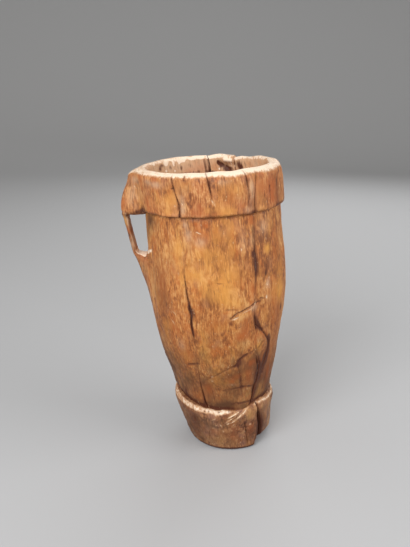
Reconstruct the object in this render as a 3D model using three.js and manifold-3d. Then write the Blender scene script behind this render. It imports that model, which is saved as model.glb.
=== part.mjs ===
// Carved wooden container: a leaning, hollowed log with a proud rim, a pierced lug and a stepped foot.
// Units are millimetres, +Z is up, and the origin is the middle of the flat face that it stands on.
import * as THREE from 'three';
import { mergeVertices } from 'three/addons/utils/BufferGeometryUtils.js';
import Module from 'manifold-3d';

const wasm = await Module();
wasm.setup();

// Gap kept between two members where they seat on each other
const seatGap = 0.3;

// Foot: a solid block that draws in towards the ground
const baseRadius = 50;
const baseEdgeRadius = 57;
const baseEdgeHeight = 8;
const footRadius = 68.5;
const footHeight = 62;
const ledgeRise = 5;
const ledgeRound = 5;
const ledgeDip = 3;
const ledgeDipAngle = -105;

// Hollow: how deep the log is bored out and how thick its wall is left
const hollowFloor = 52;
const floorRadius = 38;
const wallThickness = 12.5;

// Barrel wall: radii at the neck, waist, flank, belly and shoulder, each with its rise above the neck
const neckRadius = 65;
const waistRadius = 67.5;
const waistRise = 28;
const flankRadius = 79.6;
const flankRise = 78;
const bellyRadius = 89.8;
const bellyRise = 158;
const shoulderRadius = 85.7;
const wallHeight = 264.5;

// Rim band: a ring that stands proud of the shoulder, with a worn, rounded lip
const bandHeight = 50.5;
const bandProud = 5.5;
const bandThickness = 15.7;
const bandEdgeRound = 3;
const lipFall = 11.2;
const lipWearDepth = 11;
const lipInnerRound = 4;

// Lean of the log: how far its axis has moved sideways at each level, and the tilt of the rim
const leanAtFoot = -8.2;
const leanAtFlank = -15.7;
const leanAtBelly = -19.3;
const leanAtShoulder = -26;
const leanAtCrest = -33;
const rimTilt = 0.055;
const rimNod = 0.012;

// Ear of the lug: how far it stands out from the band, how wide it is and how far it hangs below
const earReach = 25.5;
const earHalfWidth = 19;
const earSharpness = 2.6;
const earDip = 8;
const earDipHalfWidth = 26;
const earDipSharpness = 4;

// Side outline of the ear, as shares of its reach at shares of the band's height
const earOutline = [[1, 0], [0.97, 0.1], [0.87, 0.27], [0.46, 0.57], [0.22, 0.85], [0, 1]];

// Strap and slot of the lug: the strap runs from the ear down to a root that dies into the wall
const strapThickness = 6.2;
const strapWidth = 20;
const strapFaceRound = 2.4;
const strapSideRound = 5;
const strapTopInset = 1.5;
const slotHeight = 56;
const slotFootWidth = 11;
const slotFootRound = 5;
const slotFootFlare = 1;
const rootLength = 72;
const rootSlimming = 1.73;
const rootBite = 6;

// Stave of the rim between two open checks at the back, a little high, with a knot inside it
const staveStartAngle = 63;
const staveEndAngle = 90;
const staveLift = 1.5;
const staveCheckWidth = 1.6;
const knotAngle = 71;
const knotLength = 22;
const knotDepth = 9;
const knotHeight = 13;
const knotBelowCrest = 8;

// Drying checks: half-round channels along the wall and rim, and the wedge that opens the foot
const checkRadius = 1.5;
const wideCheckRadius = 2.8;
const cleftAngle = -48;
const cleftWidth = 7;
const cleftDepth = 15;
const cleftTopHeight = 60;

// Courses of the checks as [angle, share of the member's height] pairs, seen from the front
const leftCourse = [[-114, 0.97], [-115, 0.8], [-112.5, 0.56], [-111, 0.46], [-113.4, 0.2], [-112, 0.03]];
const rightCourse = [[-57, 0.97], [-58, 0.73], [-61, 0.56], [-57, 0.45], [-51, 0.22], [-53, 0.03]];
const leftRimCourse = [[-116.8, 0.8], [-116, 0.6], [-114.4, 0.3], [-114, 0.1]];
const rightRimCourse = [[-57.5, 0.8], [-59.3, 0.5], [-60, 0.1]];
const resinLeftCourse = [[-113, 0.61], [-111.8, 0.55], [-111, 0.49]];
const resinUpperCourse = [[-57.8, 0.83], [-58.1, 0.77], [-58.3, 0.7]];
const resinLowerCourse = [[-52.3, 0.27], [-51, 0.22], [-51.6, 0.14]];

// Dark resin packed into the checks, a little below the surface of the wood
const resinInset = 0.4;

// How far a cut runs past what it opens
const cutPast = 1;
const sectorPast = 25;

// Facets of the revolved surfaces, the rounds and the smooth curves
const turnSegments = 64;
const rimSegments = 76;
const rimCrowding = 0.5;
const wallRings = 11;
const courseSteps = 14;
const resinSteps = 3;
const roundSteps = 4;
const sectorSteps = 4;
const slotFootSteps = 6;
const strapRoundSteps = 3;
const rootSteps = 6;
const knotSegments = 12;
const knotRings = 8;
const curveSamples = 40;

// Vertices closer than this are one vertex
const mergeReach = 1e-4;

// Levels and radii that follow from the sizes above
const wallStart = footHeight + ledgeRise;
const bandStart = wallStart + wallHeight;
const crestHeight = bandStart + bandHeight;
const wallSeat = wallStart + seatGap;
const bandSeat = bandStart + seatGap;
const bandRadius = shoulderRadius + bandProud;
const bandMouthRadius = bandRadius - bandThickness;
const lipCrestRadius = bandRadius - lipFall;
const degree = Math.PI / 180;

const wood = { roughness: 0.62, metalness: 0 };
const barrelWood = new THREE.MeshStandardMaterial({ color: 0xc0844f, ...wood });
const rimWood = new THREE.MeshStandardMaterial({ color: 0xbd7d4b, ...wood });
const staveWood = new THREE.MeshStandardMaterial({ color: 0xc9a079, ...wood });
const strapWood = new THREE.MeshStandardMaterial({ color: 0xb87a4a, ...wood });
const footWood = new THREE.MeshStandardMaterial({ color: 0x875a3e, ...wood });
const resin = new THREE.MeshStandardMaterial({ color: 0x3a2320, roughness: 0.45, metalness: 0 });

// A height-to-value function read off a smooth curve through a few [value, height] stations
function smoothThrough(stations) {
  const curve = new THREE.SplineCurve(stations.map(([value, height]) => new THREE.Vector2(value, height)));
  const samples = curve.getPoints(curveSamples * stations.length);
  return (height) => {
    const last = samples.length - 1;
    let upper = samples.findIndex((sample) => sample.y >= height);
    if (upper < 0) {
      upper = last;
    }
    upper = Math.max(upper, 1);
    const below = samples[upper - 1];
    const above = samples[upper];
    const share = THREE.MathUtils.clamp((height - below.y) / (above.y - below.y), 0, 1);
    return THREE.MathUtils.lerp(below.x, above.x, share);
  };
}

const wallRadius = smoothThrough([
  [neckRadius, wallStart],
  [waistRadius, wallStart + waistRise],
  [flankRadius, wallStart + flankRise],
  [bellyRadius, wallStart + bellyRise],
  [shoulderRadius, bandStart],
]);

const axisShift = smoothThrough([
  [0, 0],
  [leanAtFoot, footHeight],
  [leanAtFlank, wallStart + flankRise],
  [leanAtBelly, wallStart + bellyRise],
  [leanAtShoulder, bandStart],
  [leanAtCrest, crestHeight],
]);

// The log is shaped about a straight axis first; this then gives each point its lean and the rim its tilt
function leanPoint(point) {
  const tiltShare = THREE.MathUtils.smoothstep(point.z, wallStart + bellyRise, bandStart);
  const shift = axisShift(point.z);
  point.z += tiltShare * (rimTilt * point.x - rimNod * point.y);
  point.x += shift;
  return point;
}

// A closed three.js geometry as a solid that can be joined and cut
function solidOf(geometry) {
  const bare = geometry.clone();
  bare.deleteAttribute('normal');
  bare.deleteAttribute('uv');
  const merged = mergeVertices(bare, mergeReach);
  const corners = merged.index.array;
  const triangles = [];
  for (let i = 0; i < corners.length; i += 3) {
    const [a, b, c] = corners.slice(i, i + 3);
    if (a !== b && b !== c && c !== a) {
      triangles.push(a, b, c);
    }
  }
  return new wasm.Manifold(new wasm.Mesh({
    numProp: 3,
    vertProperties: merged.attributes.position.array,
    triVerts: new Uint32Array(triangles),
  }));
}

// Moves every vertex of a geometry by a function of its place
function reshape(geometry, move) {
  const place = geometry.attributes.position;
  const point = new THREE.Vector3();
  for (let i = 0; i < place.count; i += 1) {
    point.fromBufferAttribute(place, i);
    move(point);
    place.setXYZ(i, point.x, point.y, point.z);
  }
  return geometry;
}

// A profile of [radius, height] points turned about the Z axis
function turned(profile, segments = turnSegments) {
  const points = profile.map(([radius, height]) => new THREE.Vector2(radius, height));
  return new THREE.LatheGeometry(points, segments).rotateX(Math.PI / 2);
}

function evenSteps(start, end, count) {
  return Array.from({ length: count + 1 }, (_, i) => THREE.MathUtils.lerp(start, end, i / count));
}

// Points of a curved corner from one [radius, height] to another, pulled towards a third
function corner(start, pull, end, count = roundSteps) {
  const curve = new THREE.QuadraticBezierCurve(
    new THREE.Vector2(...start),
    new THREE.Vector2(...pull),
    new THREE.Vector2(...end),
  );
  return curve.getPoints(count).map((point) => [point.x, point.y]);
}

// A course laid over the barrel wall or the rim band, as points on the surface of the wood
function layCourse(course, start, height, radiusAt) {
  return course.map(([angle, share]) => {
    const level = start + share * height;
    const radius = radiusAt(level);
    return new THREE.Vector3(radius * Math.cos(angle * degree), radius * Math.sin(angle * degree), level);
  });
}

function onWall(course) {
  return layCourse(course, wallStart, wallHeight, wallRadius);
}

function onBand(course) {
  return layCourse(course, bandStart, bandHeight, () => bandRadius);
}

// A round channel, or the filling of one, carried along a course of points
function roundAlong(points, channelRadius, steps) {
  const section = new THREE.Shape().absarc(0, 0, channelRadius, 0, 2 * Math.PI, false);
  return solidOf(new THREE.ExtrudeGeometry(section, {
    extrudePath: new THREE.CatmullRomCurve3(points),
    steps,
    curveSegments: roundSteps,
    bevelEnabled: false,
  }));
}

// The barrel's outside as a plain solid, grown outwards by a clearance
function barrelCore(growth) {
  const outside = evenSteps(wallStart, bandStart, wallRings)
    .map((height) => [wallRadius(height) + growth, height]);
  return solidOf(turned([[0, wallStart], ...outside, [0, bandStart]]));
}

// Foot block: flat underside, rounded ground edge, sloping ledge, and the round floor of the hollow
function makeFoot() {
  const mouth = wallRadius(wallStart) - wallThickness;
  const profile = [
    [0, 0],
    ...corner([baseRadius, 0], [baseEdgeRadius, 0], [baseEdgeRadius, baseEdgeHeight]),
    [(baseEdgeRadius + footRadius) / 2, (baseEdgeHeight + footHeight) / 2],
    ...corner([footRadius, footHeight - ledgeRound], [footRadius, footHeight], [neckRadius, wallStart]),
    ...corner([mouth, wallStart], [mouth, hollowFloor], [floorRadius, hollowFloor]),
    [0, hollowFloor],
  ];
  const block = reshape(turned(profile), (point) => {
    const radius = Math.hypot(point.x, point.y);
    const outside = THREE.MathUtils.smoothstep(radius, neckRadius, footRadius);
    const high = THREE.MathUtils.smoothstep(point.z, baseEdgeHeight, footHeight);
    const facing = Math.max(0, Math.cos(Math.atan2(point.y, point.x) - ledgeDipAngle * degree));
    point.z -= ledgeDip * outside * high * facing;
  });

  // The cleft is a wedge that is widest at the ground, driven in from the side
  const wedge = new THREE.Shape([
    new THREE.Vector2(-cleftWidth / 2, -cutPast),
    new THREE.Vector2(cleftWidth / 2, -cutPast),
    new THREE.Vector2(0, cleftTopHeight),
  ]);
  const cleft = new THREE.ExtrudeGeometry(wedge, { depth: 2 * cleftDepth, bevelEnabled: false });
  cleft.rotateX(Math.PI / 2);
  cleft.rotateZ(Math.PI / 2);
  cleft.translate(footRadius - cleftDepth, 0, 0);
  cleft.rotateZ(cleftAngle * degree);
  return solidOf(block).subtract(solidOf(cleft));
}

// Barrel wall: the hollow log between the ledge and the rim band
function makeBarrel() {
  const levels = evenSteps(wallSeat, bandStart, wallRings);
  const outside = levels.map((height) => [wallRadius(height), height]);
  const inside = levels.map((height) => [wallRadius(height) - wallThickness, height]).reverse();
  let barrel = solidOf(turned([...outside, ...inside, outside[0]]));
  for (const course of [leftCourse, rightCourse]) {
    barrel = barrel.subtract(roundAlong(onWall(course), checkRadius, courseSteps));
  }
  for (const course of [resinLeftCourse, resinUpperCourse, resinLowerCourse]) {
    barrel = barrel.subtract(roundAlong(onWall(course), wideCheckRadius, resinSteps));
  }
  return barrel;
}

// Rim band with the ear of the lug drawn out of its left side in one smooth swelling
function makeRim() {
  const hollow = shoulderRadius - wallThickness;
  const edgeTop = bandSeat + bandEdgeRound;
  const wearStart = crestHeight - lipWearDepth;
  const seatEdge = shoulderRadius + seatGap;
  const hangEdge = seatEdge + seatGap / 2;
  const bandMiddle = (bandStart + crestHeight) / 2;
  const mouthEdge = [bandMouthRadius, crestHeight - lipInnerRound];
  const profile = [
    [hollow, bandSeat],
    [seatEdge, bandSeat],
    [hangEdge, bandSeat],
    ...corner([bandRadius - bandEdgeRound, bandSeat], [bandRadius, bandSeat], [bandRadius, edgeTop]),
    [bandRadius, (bandStart + bandMiddle) / 2],
    [bandRadius, bandMiddle],
    ...corner([bandRadius, wearStart], [bandRadius, crestHeight], [lipCrestRadius, crestHeight]),
    ...corner([lipCrestRadius, crestHeight], [bandMouthRadius, crestHeight], mouthEdge).slice(1),
    [bandMouthRadius, bandMiddle],
    [hollow, bandSeat],
  ];
  const earStations = earOutline.map(([reach, rise]) => [reach * earReach, bandStart + rise * bandHeight]);
  const earAt = smoothThrough(earStations);
  const ring = turned(profile, rimSegments);
  reshape(ring, (point) => {
    // Facets are crowded towards the lug, where the surface turns fastest
    const evenAngle = Math.atan2(point.y, point.x);
    const angle = evenAngle + rimCrowding * Math.sin(evenAngle);
    const radius = Math.hypot(point.x, point.y);
    const side = Math.cos(angle) < 0 ? Math.abs(radius * Math.sin(angle)) : Infinity;
    const nose = Math.exp(-((side / earHalfWidth) ** earSharpness));
    const droop = Math.exp(-((side / earDipHalfWidth) ** earDipSharpness));
    const outerSkin = THREE.MathUtils.smoothstep(radius, lipCrestRadius, bandRadius);
    const hangs = radius > (seatEdge + hangEdge) / 2;
    const low = hangs ? 1 - THREE.MathUtils.smoothstep(point.z, bandSeat, bandMiddle) : 0;
    const height = point.z - earDip * droop * low;
    const swollen = radius + earAt(point.z) * nose * outerSkin;
    const clearOfWall = hangs ? wallRadius(Math.min(height, bandStart)) + seatGap : 0;
    const reach = Math.max(swollen, clearOfWall);
    point.set(reach * Math.cos(angle), reach * Math.sin(angle), height);
  });
  return solidOf(ring);
}

// The slice of rim between two half-planes, used to part the stave from the band
function sector(startAngle, endAngle) {
  const reach = bandRadius + sectorPast;
  const slice = new THREE.Shape();
  slice.moveTo(0, 0);
  for (const angle of evenSteps(startAngle, endAngle, sectorSteps)) {
    slice.lineTo(reach * Math.cos(angle * degree), reach * Math.sin(angle * degree));
  }
  slice.closePath();
  const depth = bandHeight + 2 * sectorPast;
  const solid = new THREE.ExtrudeGeometry(slice, { depth, bevelEnabled: false });
  return solidOf(solid.translate(0, 0, bandStart - sectorPast));
}

const wholeRim = makeRim();
const halfCheck = staveCheckWidth / 2 / bandRadius / degree;

function makeBand() {
  let band = wholeRim.subtract(sector(staveStartAngle - halfCheck, staveEndAngle + halfCheck));
  for (const course of [leftRimCourse, rightRimCourse]) {
    band = band.subtract(roundAlong(onBand(course), checkRadius, roundSteps));
  }
  return band;
}

// Stave: its slice of the band reaches a little higher, and the knot swells from its inner face
function makeStave() {
  const slice = wholeRim.intersect(sector(staveStartAngle + halfCheck, staveEndAngle - halfCheck));
  const knot = new THREE.SphereGeometry(1, knotSegments, knotRings);
  knot.scale(knotDepth, knotLength / 2, knotHeight / 2);
  knot.translate(bandMouthRadius, 0, crestHeight - knotBelowCrest);
  knot.rotateZ(knotAngle * degree);
  return slice.add(slice.translate([0, 0, staveLift])).add(solidOf(knot));
}

// Strap of the lug: an outline in the plane of the lug, extruded across it with softened edges
function makeStrap() {
  const top = bandStart - earDip;
  const slotFoot = top - slotHeight;
  const rootEnd = slotFoot - rootLength;
  const outerTop = bandRadius + earReach - strapTopInset;
  const innerFoot = wallRadius(slotFoot) + slotFootWidth;
  const rootLevels = evenSteps(slotFoot, rootEnd, rootSteps);
  const outline = new THREE.Shape();
  outline.moveTo(outerTop, top);
  for (const level of rootLevels) {
    const share = (level - rootEnd) / rootLength;
    outline.lineTo(wallRadius(level) + (slotFootWidth + strapThickness) * share ** rootSlimming, level);
  }
  for (const level of rootLevels.reverse()) {
    outline.lineTo(wallRadius(level) - rootBite, level);
  }
  outline.lineTo(innerFoot - slotFootRound, slotFoot);
  outline.quadraticCurveTo(innerFoot, slotFoot, innerFoot + slotFootFlare, slotFoot + slotFootRound);
  outline.lineTo(outerTop - strapThickness, top);
  outline.closePath();
  const bar = new THREE.ExtrudeGeometry(outline, {
    depth: strapWidth - 2 * strapSideRound,
    curveSegments: slotFootSteps,
    bevelEnabled: true,
    bevelThickness: strapSideRound,
    bevelSize: strapFaceRound,
    bevelOffset: -strapFaceRound,
    bevelSegments: strapRoundSteps,
  });
  bar.translate(0, 0, strapSideRound - strapWidth / 2);
  bar.rotateX(Math.PI / 2);
  bar.rotateZ(Math.PI);
  return solidOf(bar).subtract(barrelCore(seatGap));
}

// Resin filling: a rod that fits its channel with a gap, dressed back to just below the wood
function makeResin(course) {
  const rod = roundAlong(onWall(course), wideCheckRadius - seatGap, resinSteps);
  return rod.intersect(barrelCore(-resinInset));
}

// A finished member: the solid is given its lean and becomes a named mesh
function member(name, solid, material) {
  const { vertProperties, triVerts } = solid.getMesh();
  const geometry = new THREE.BufferGeometry();
  geometry.setAttribute('position', new THREE.BufferAttribute(vertProperties, 3));
  geometry.setIndex(new THREE.BufferAttribute(triVerts, 1));
  reshape(geometry, leanPoint);
  geometry.computeVertexNormals();
  const mesh = new THREE.Mesh(geometry, material);
  mesh.name = name;
  return mesh;
}

const container = new THREE.Group();
container.name = 'carved_wooden_container';
container.add(
  member('foot_block', makeFoot(), footWood),
  member('barrel_wall', makeBarrel(), barrelWood),
  member('rim_band', makeBand(), rimWood),
  member('rim_stave', makeStave(), staveWood),
  member('handle_strap', makeStrap(), strapWood),
  member('resin_left', makeResin(resinLeftCourse), resin),
  member('resin_right_upper', makeResin(resinUpperCourse), resin),
  member('resin_right_lower', makeResin(resinLowerCourse), resin),
);

export default container;
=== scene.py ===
"""A leaning vessel carved and hollowed from one log, with a proud rim, a pierced lug and a stepped foot.

All sizes are in metres, apart from the lists of cracks, marks and worn edges, which are in degrees and
millimetres. The log is shaped about a straight axis, as radius, angle and height, and every surface then
takes the same lean. Angle -90 degrees is the front, 180 degrees is the lug.
"""
import math
from functools import partial

import bpy
import numpy as np
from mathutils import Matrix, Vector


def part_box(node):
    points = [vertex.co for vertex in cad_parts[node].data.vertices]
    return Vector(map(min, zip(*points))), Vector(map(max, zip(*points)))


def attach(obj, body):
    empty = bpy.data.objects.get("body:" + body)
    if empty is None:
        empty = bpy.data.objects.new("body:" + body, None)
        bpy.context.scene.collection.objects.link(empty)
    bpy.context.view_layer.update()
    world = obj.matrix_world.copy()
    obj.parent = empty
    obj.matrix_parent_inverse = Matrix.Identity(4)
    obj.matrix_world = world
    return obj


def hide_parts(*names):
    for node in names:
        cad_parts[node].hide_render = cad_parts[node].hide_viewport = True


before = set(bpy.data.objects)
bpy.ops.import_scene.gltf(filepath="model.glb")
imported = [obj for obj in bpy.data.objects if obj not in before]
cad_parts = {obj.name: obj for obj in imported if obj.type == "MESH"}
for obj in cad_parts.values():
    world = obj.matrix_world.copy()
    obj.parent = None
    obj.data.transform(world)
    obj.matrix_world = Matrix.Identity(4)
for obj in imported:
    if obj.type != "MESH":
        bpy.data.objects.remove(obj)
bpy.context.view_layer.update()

# Camera: the vessel is seen from the front and from above its rim, a little off its middle, in a tall
# picture of 410 x 547. The focal length is written as a share of the picture's height.
picture_height = 547
focal_pixels = 600
sensor_size = 36.0
camera_place = (-0.035, -0.752, 0.492)
camera_pitch = math.radians(18.8)

camera_data = bpy.data.cameras.new("front_camera")
camera_data.sensor_fit = "VERTICAL"
camera_data.sensor_height = sensor_size
camera_data.lens = sensor_size * focal_pixels / picture_height
camera = bpy.data.objects.new("front_camera", camera_data)
camera.location = camera_place
camera.rotation_euler = (math.pi / 2 - camera_pitch, 0, 0)
bpy.context.scene.collection.objects.link(camera)
bpy.context.scene.camera = camera


# Light and floor: one large soft lamp above and in front, a weaker one from the right and one from behind,
# and an even sky, on a plain pale floor that curves up far behind the vessel.
sky_colour = (255, 252, 247)
sky_strength = 0.5
key_lamp = dict(place=(-0.85, -1.5, 1.25), size=1.3, power=36.0)
side_lamp = dict(place=(1.5, -0.5, 0.9), size=1.2, power=14.0)
back_lamp = dict(place=(0.5, 1.6, 1.2), size=1.4, power=12.0)
lamp_aim = np.array([-0.02, 0.0, 0.2])
floor_reach = 6.0
bend_start, bend_radius, bend_steps = 2.2, 1.6, 24
backdrop_top = 5.0
floor_grey = (180, 181, 183)
floor_bounce_grey = (118, 118, 120)
floor_roughness = 0.8


def paint(red, green, blue):
    """A colour written in picture values from 0 to 255, as the linear values that a shader takes."""
    share = np.array([red, green, blue]) / 255
    linear = np.where(share <= 0.04045, share / 12.92, ((share + 0.055) / 1.055) ** 2.4)
    return (*linear.tolist(), 1.0)


def soft_lamp(name, place, size, power):
    """A square lamp that faces the vessel."""
    data = bpy.data.lights.new(name, "AREA")
    data.shape = "SQUARE"
    data.size = size
    data.energy = power
    lamp = bpy.data.objects.new(name, data)
    lamp.location = place
    toward = lamp_aim - np.array(place)
    flat = math.hypot(toward[0], toward[1])
    lamp.rotation_euler = (math.atan2(flat, -toward[2]), 0, math.atan2(-toward[0], toward[1]))
    bpy.context.scene.collection.objects.link(lamp)


soft_lamp("key_lamp", **key_lamp)
soft_lamp("side_lamp", **side_lamp)
soft_lamp("back_lamp", **back_lamp)

world = bpy.data.worlds.new("even_sky")
world.use_nodes = True
sky = world.node_tree.nodes["Background"]
sky.inputs["Color"].default_value = paint(*sky_colour)
sky.inputs["Strength"].default_value = sky_strength
bpy.context.scene.world = world
bpy.context.scene.view_settings.view_transform = "Standard"


def new_material(name):
    """An empty material, its node tree and its shader."""
    material = bpy.data.materials.new(name)
    material.use_nodes = True
    return material, material.node_tree, material.node_tree.nodes["Principled BSDF"]


def plug(tree, socket, value):
    """Feeds a socket from another node, or with a plain value."""
    if isinstance(value, bpy.types.NodeSocket):
        tree.links.new(value, socket)
    else:
        socket.default_value = value


def calc(tree, operation, first, second=0.0, clamp=False):
    """One step of arithmetic."""
    step = tree.nodes.new("ShaderNodeMath")
    step.operation = operation
    step.use_clamp = clamp
    plug(tree, step.inputs[0], first)
    plug(tree, step.inputs[1], second)
    return step.outputs[0]


def blend(tree, share, under, over):
    """One colour laid over another by a share."""
    mix = tree.nodes.new("ShaderNodeMix")
    mix.data_type = "RGBA"
    plug(tree, mix.inputs[0], share)
    plug(tree, mix.inputs[6], under)
    plug(tree, mix.inputs[7], over)
    return mix.outputs[2]


def pale_floor():
    """A plain matt floor. The camera and glossy surfaces see its own grey, and it throws less light back."""
    material, tree, shader = new_material("pale_floor")
    rays = tree.nodes.new("ShaderNodeLightPath").outputs
    seen = calc(tree, "MAXIMUM", rays["Is Camera Ray"], rays["Is Glossy Ray"])
    seen = calc(tree, "MAXIMUM", seen, rays["Is Transmission Ray"])
    plug(tree, shader.inputs["Base Color"], blend(tree, seen, paint(*floor_bounce_grey), paint(*floor_grey)))
    shader.inputs["Roughness"].default_value = floor_roughness
    return material


bend = np.linspace(0, np.pi / 2, bend_steps)
sweep = np.vstack([[(-floor_reach, 0)],
                   np.stack([bend_start + bend_radius * np.sin(bend), bend_radius * (1 - np.cos(bend))], -1),
                   [(bend_start + bend_radius, backdrop_top)]])
floor_places = np.array([(x, y, z) for y, z in sweep for x in (-floor_reach, floor_reach)])
floor_faces = [(2 * i, 2 * i + 1, 2 * i + 3, 2 * i + 2) for i in range(len(sweep) - 1)]
floor_mesh = bpy.data.meshes.new("floor")
floor_mesh.from_pydata(floor_places.tolist(), [], floor_faces)
floor_mesh.polygons.foreach_set("use_smooth", [True] * len(floor_mesh.polygons))
floor_mesh.materials.append(pale_floor())
floor = bpy.data.objects.new("floor", floor_mesh)
bpy.context.scene.collection.objects.link(floor)


# Foot: the solid end of the log, which draws in towards the ground. Round its top runs a ledge, left when
# the wall above was cut back. Its wood is dark with smoke and handling, and the ledge is worn pale. A cleft
# has opened at the right, and a knife has left pale cuts where ledge and front meet.
foot_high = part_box("foot_block")[1]
ledge_top = foot_high[2]
foot_radius = foot_high[1]
neck_radius = 0.065
foot_height = 0.062
ledge_round = 0.005
ground_radius = 0.050
ground_edge_radius = 0.057
ground_edge_height = 0.008
wall_thickness = 0.0125
hollow_floor = 0.052
floor_radius = 0.038
seat_radius = 0.0605
tuck = 0.0045

waist_radius, waist_height = 0.0675, ledge_top + 0.028
flank_radius, flank_height = 0.0796, ledge_top + 0.078
belly_radius, belly_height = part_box("barrel_wall")[1][1], ledge_top + 0.158
shoulder_radius, band_start = 0.0857, ledge_top + 0.2645
band_height = 0.0505
crest_height = band_start + band_height
lean_stations = [(0, 0), (-0.0082, foot_height), (-0.0157, flank_height), (-0.0193, belly_height),
                 (-0.026, band_start), (-0.033, crest_height)]
wall_stations = [(neck_radius, ledge_top), (waist_radius, waist_height), (flank_radius, flank_height),
                 (belly_radius, belly_height), (shoulder_radius, band_start)]
rim_tilt = 0.055
rim_nod = 0.012

foot_columns = 400
underside_rows, outside_rows = 8, 88
mm_per_metre = 1000
crack_end = -0.3
wear_reach = 0.006
crack_reach = 0.002
groove_shoulder = 0.0004
no_length = 1e-12
ledge_edge = [
    (-180, 67.5), (-150, 66), (-128, 63.5), (-108, 61), (-88, 61.2), (-72, 62.5), (-58, 65.5), (-45, 67.5),
    (-20, 66), (20, 64.5), (70, 63), (120, 65), (180, 67.5)]
cleft = [
    (-49.5, 68, 0.6), (-49, 60, 0.8), (-50, 53, 0.9), (-47.2, 40, 1.4), (-46.2, 30, 1.9), (-46, 21.5, 2.3),
    (-46.9, 12, 2.8), (-51.5, -2, 4.2)]
cleft_depth = 0.010
cleft_least = 0.003
cleft_bend = 3
cleft_right, cleft_left = (0.0050, 2.2, 1.4), (0.0020, 0.8, 0.8)
ground_tuck = 0.0005
lobe_height = 0.010
ledge_wear = [
    (-180, 3.6, 3, 0), (-150, 3.6, 3, 0), (-128, 2.8, 3, 0.1), (-119, 1.8, 3.2, 0.6), (-108, 0.8, 3.5, 1.4),
    (-95, 0.4, 3.6, 1.7), (-91, 0.4, 3.2, 1.7), (-86, 0.6, 2, 1.4), (-82, 1, -1, 1.4), (-55, 1, -1, 1.4),
    (-53, 1.4, 0.6, 1.4), (-45, 2.4, 1.1, 1.4), (-30, 3.3, 1.3, 1.2), (-15, 3.6, 1.5, 0.8),
    (20, 3, 2.2, 0.4), (100, 3, 2.4, 0.4), (180, 3.6, 3.2, 0.4)]
foot_splits = [
    [(-68.8, 50), (-68, 44, 0.6), (-67, 37.5, 0.7), (-65.8, 23, 0.5), (-64.5, 9.5, 0.4), (-64, 2)],
    [(-77.5, 40.5), (-73, 39.5, 0.5), (-66, 38.5, 0.6), (-59, 36.5)],
    [(-112.2, 38.5), (-113.5, 30, 0.35), (-115.2, 21, 0.4), (-119, 10)],
    [(-128, 52), (-131, 44, 0.5), (-134, 34)],
    [(-62, 50), (-58, 42, 0.4), (-56.5, 30)],
    [(-92, 25.5), (-84, 26.5, 0.4), (-75, 24.5)],
    [(-91, 52), (-86, 56, 0.6), (-81, 60, 0.6), (-76, 62.8)],
    [(-88, 50), (-83, 54.5, 0.5), (-78, 58.5, 0.5), (-72, 62.5)],
    [(20, 58), (18, 40, 0.6), (22, 12, 0.4), (21, -1)],
    [(118, 56), (120, 35, 0.5), (116, 15)],
]
ledge_pits = [
    [(-115.4, 64), (-114.2, 64.5, 0.7), (-112.9, 64.5)],
    [(-110.3, 65.5), (-109.5, 65.5, 0.6), (-107.5, 65.5)],
    [(-100, 66.2), (-97, 66.4, 0.4), (-95, 66.4)],
    [(-87, 66), (-85.5, 66.5, 0.8), (-83.5, 66.8)],
    [(-83.3, 64.5), (-81.5, 65, 0.8), (-79.7, 65.8)],
    [(-72, 60), (-68, 63.5, 0.4), (-62, 66)],
]
ledge_cuts = [
    [(-108.3, 51.5), (-104, 56, 0.4), (-100.5, 59.2)],
    [(-90, 56.8), (-86, 59.2, 0.4), (-81, 62.2, 0.8), (-76, 64.5, 0.7), (-72.5, 65.8)],
    [(-93, 49), (-88.5, 53, 0.4), (-85, 56, 0.5), (-81.5, 58.5)],
    [(-87, 47.8), (-82.5, 52, 0.5), (-77.5, 56.5, 0.5), (-73, 60.5, 0.7), (-67, 64.2, 0.6), (-59.5, 67.6)],
    [(-91.5, 47), (-88, 49.2, 0.5), (-84, 51.5)],
]
short_cuts = [
    [(-98.4, 50.5), (-96.5, 46, 0.5), (-95.8, 42.5)],
    [(-95.6, 40), (-95, 36, 0.5), (-94.6, 32.5)],
    [(-104, 44), (-102, 46.5, 0.4), (-100.5, 48)],
    [(-84, 44), (-82, 46.5, 0.4), (-80, 48.5)],
    [(-63, 40), (-61, 41.2, 0.5), (-58.5, 40)],
]

grain_step, grain_roughness = 3.7, 0.55
sway_scale, sway_reach = 17, 0.009
tone_weights, tone_span = 4.1, (0.448, 0.557)
patch_tints = (
    (60, 11, 0.5, (1.0, 0.86, 0.74)), (75, 12, 0.45, (0.98, 1.05, 1.3)),
    (45, 13, 0.5, (1.08, 1.14, 1.02)), (38, 14, 0.3, (0.8, 0.75, 0.72)))
# The gold and grey tints below colour golden and greyed wood and are also laid as painted light and sheen;
# the soot and stain browns colour dirt and stains and are also laid as painted shade.
gold_tint, warm_tint = (1.17, 1.28, 1.15), (0.93, 0.76, 0.62)
wood_roughness, wood_specular, wood_relief = 0.58, 0.28, 0.0009
grey_dust_and_light, soot_and_shade_brown, stain_and_shade_brown = (214, 180, 148), (100, 64, 40), (84, 43, 27)
pore_brown, chip_tan, hairline_brown = (104, 66, 44), (226, 190, 148), (100, 64, 44)
worn_tan, bleached_tan = (198, 152, 114), (240, 218, 194)
crack_browns = (78, 41, 28), (122, 68, 40)
cut_tans = (240, 210, 178), (204, 156, 114)


def smooth_through(stations, height):
    """The value at a height on a smooth curve through (value, height) stations: cubic spans, whose slope at
    a station is half the step between its two neighbours, read off in short straight steps."""
    points = np.array(stations, float)
    padded = np.vstack([points[:1], points, points[-1:]])
    share = np.linspace(0, 1, 48, endpoint=False)[:, None]
    spans = []
    for before, start, end, after in zip(padded[:-3], padded[1:-2], padded[2:-1], padded[3:]):
        into, out = (end - before) / 2, (after - start) / 2
        spans.append(start * (2 * share**3 - 3 * share**2 + 1) + into * (share**3 - 2 * share**2 + share)
                     + end * (3 * share**2 - 2 * share**3) + out * (share**3 - share**2))
    curve = np.vstack([*spans, points[-1:]])
    return np.interp(height, curve[:, 1], curve[:, 0])


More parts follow.
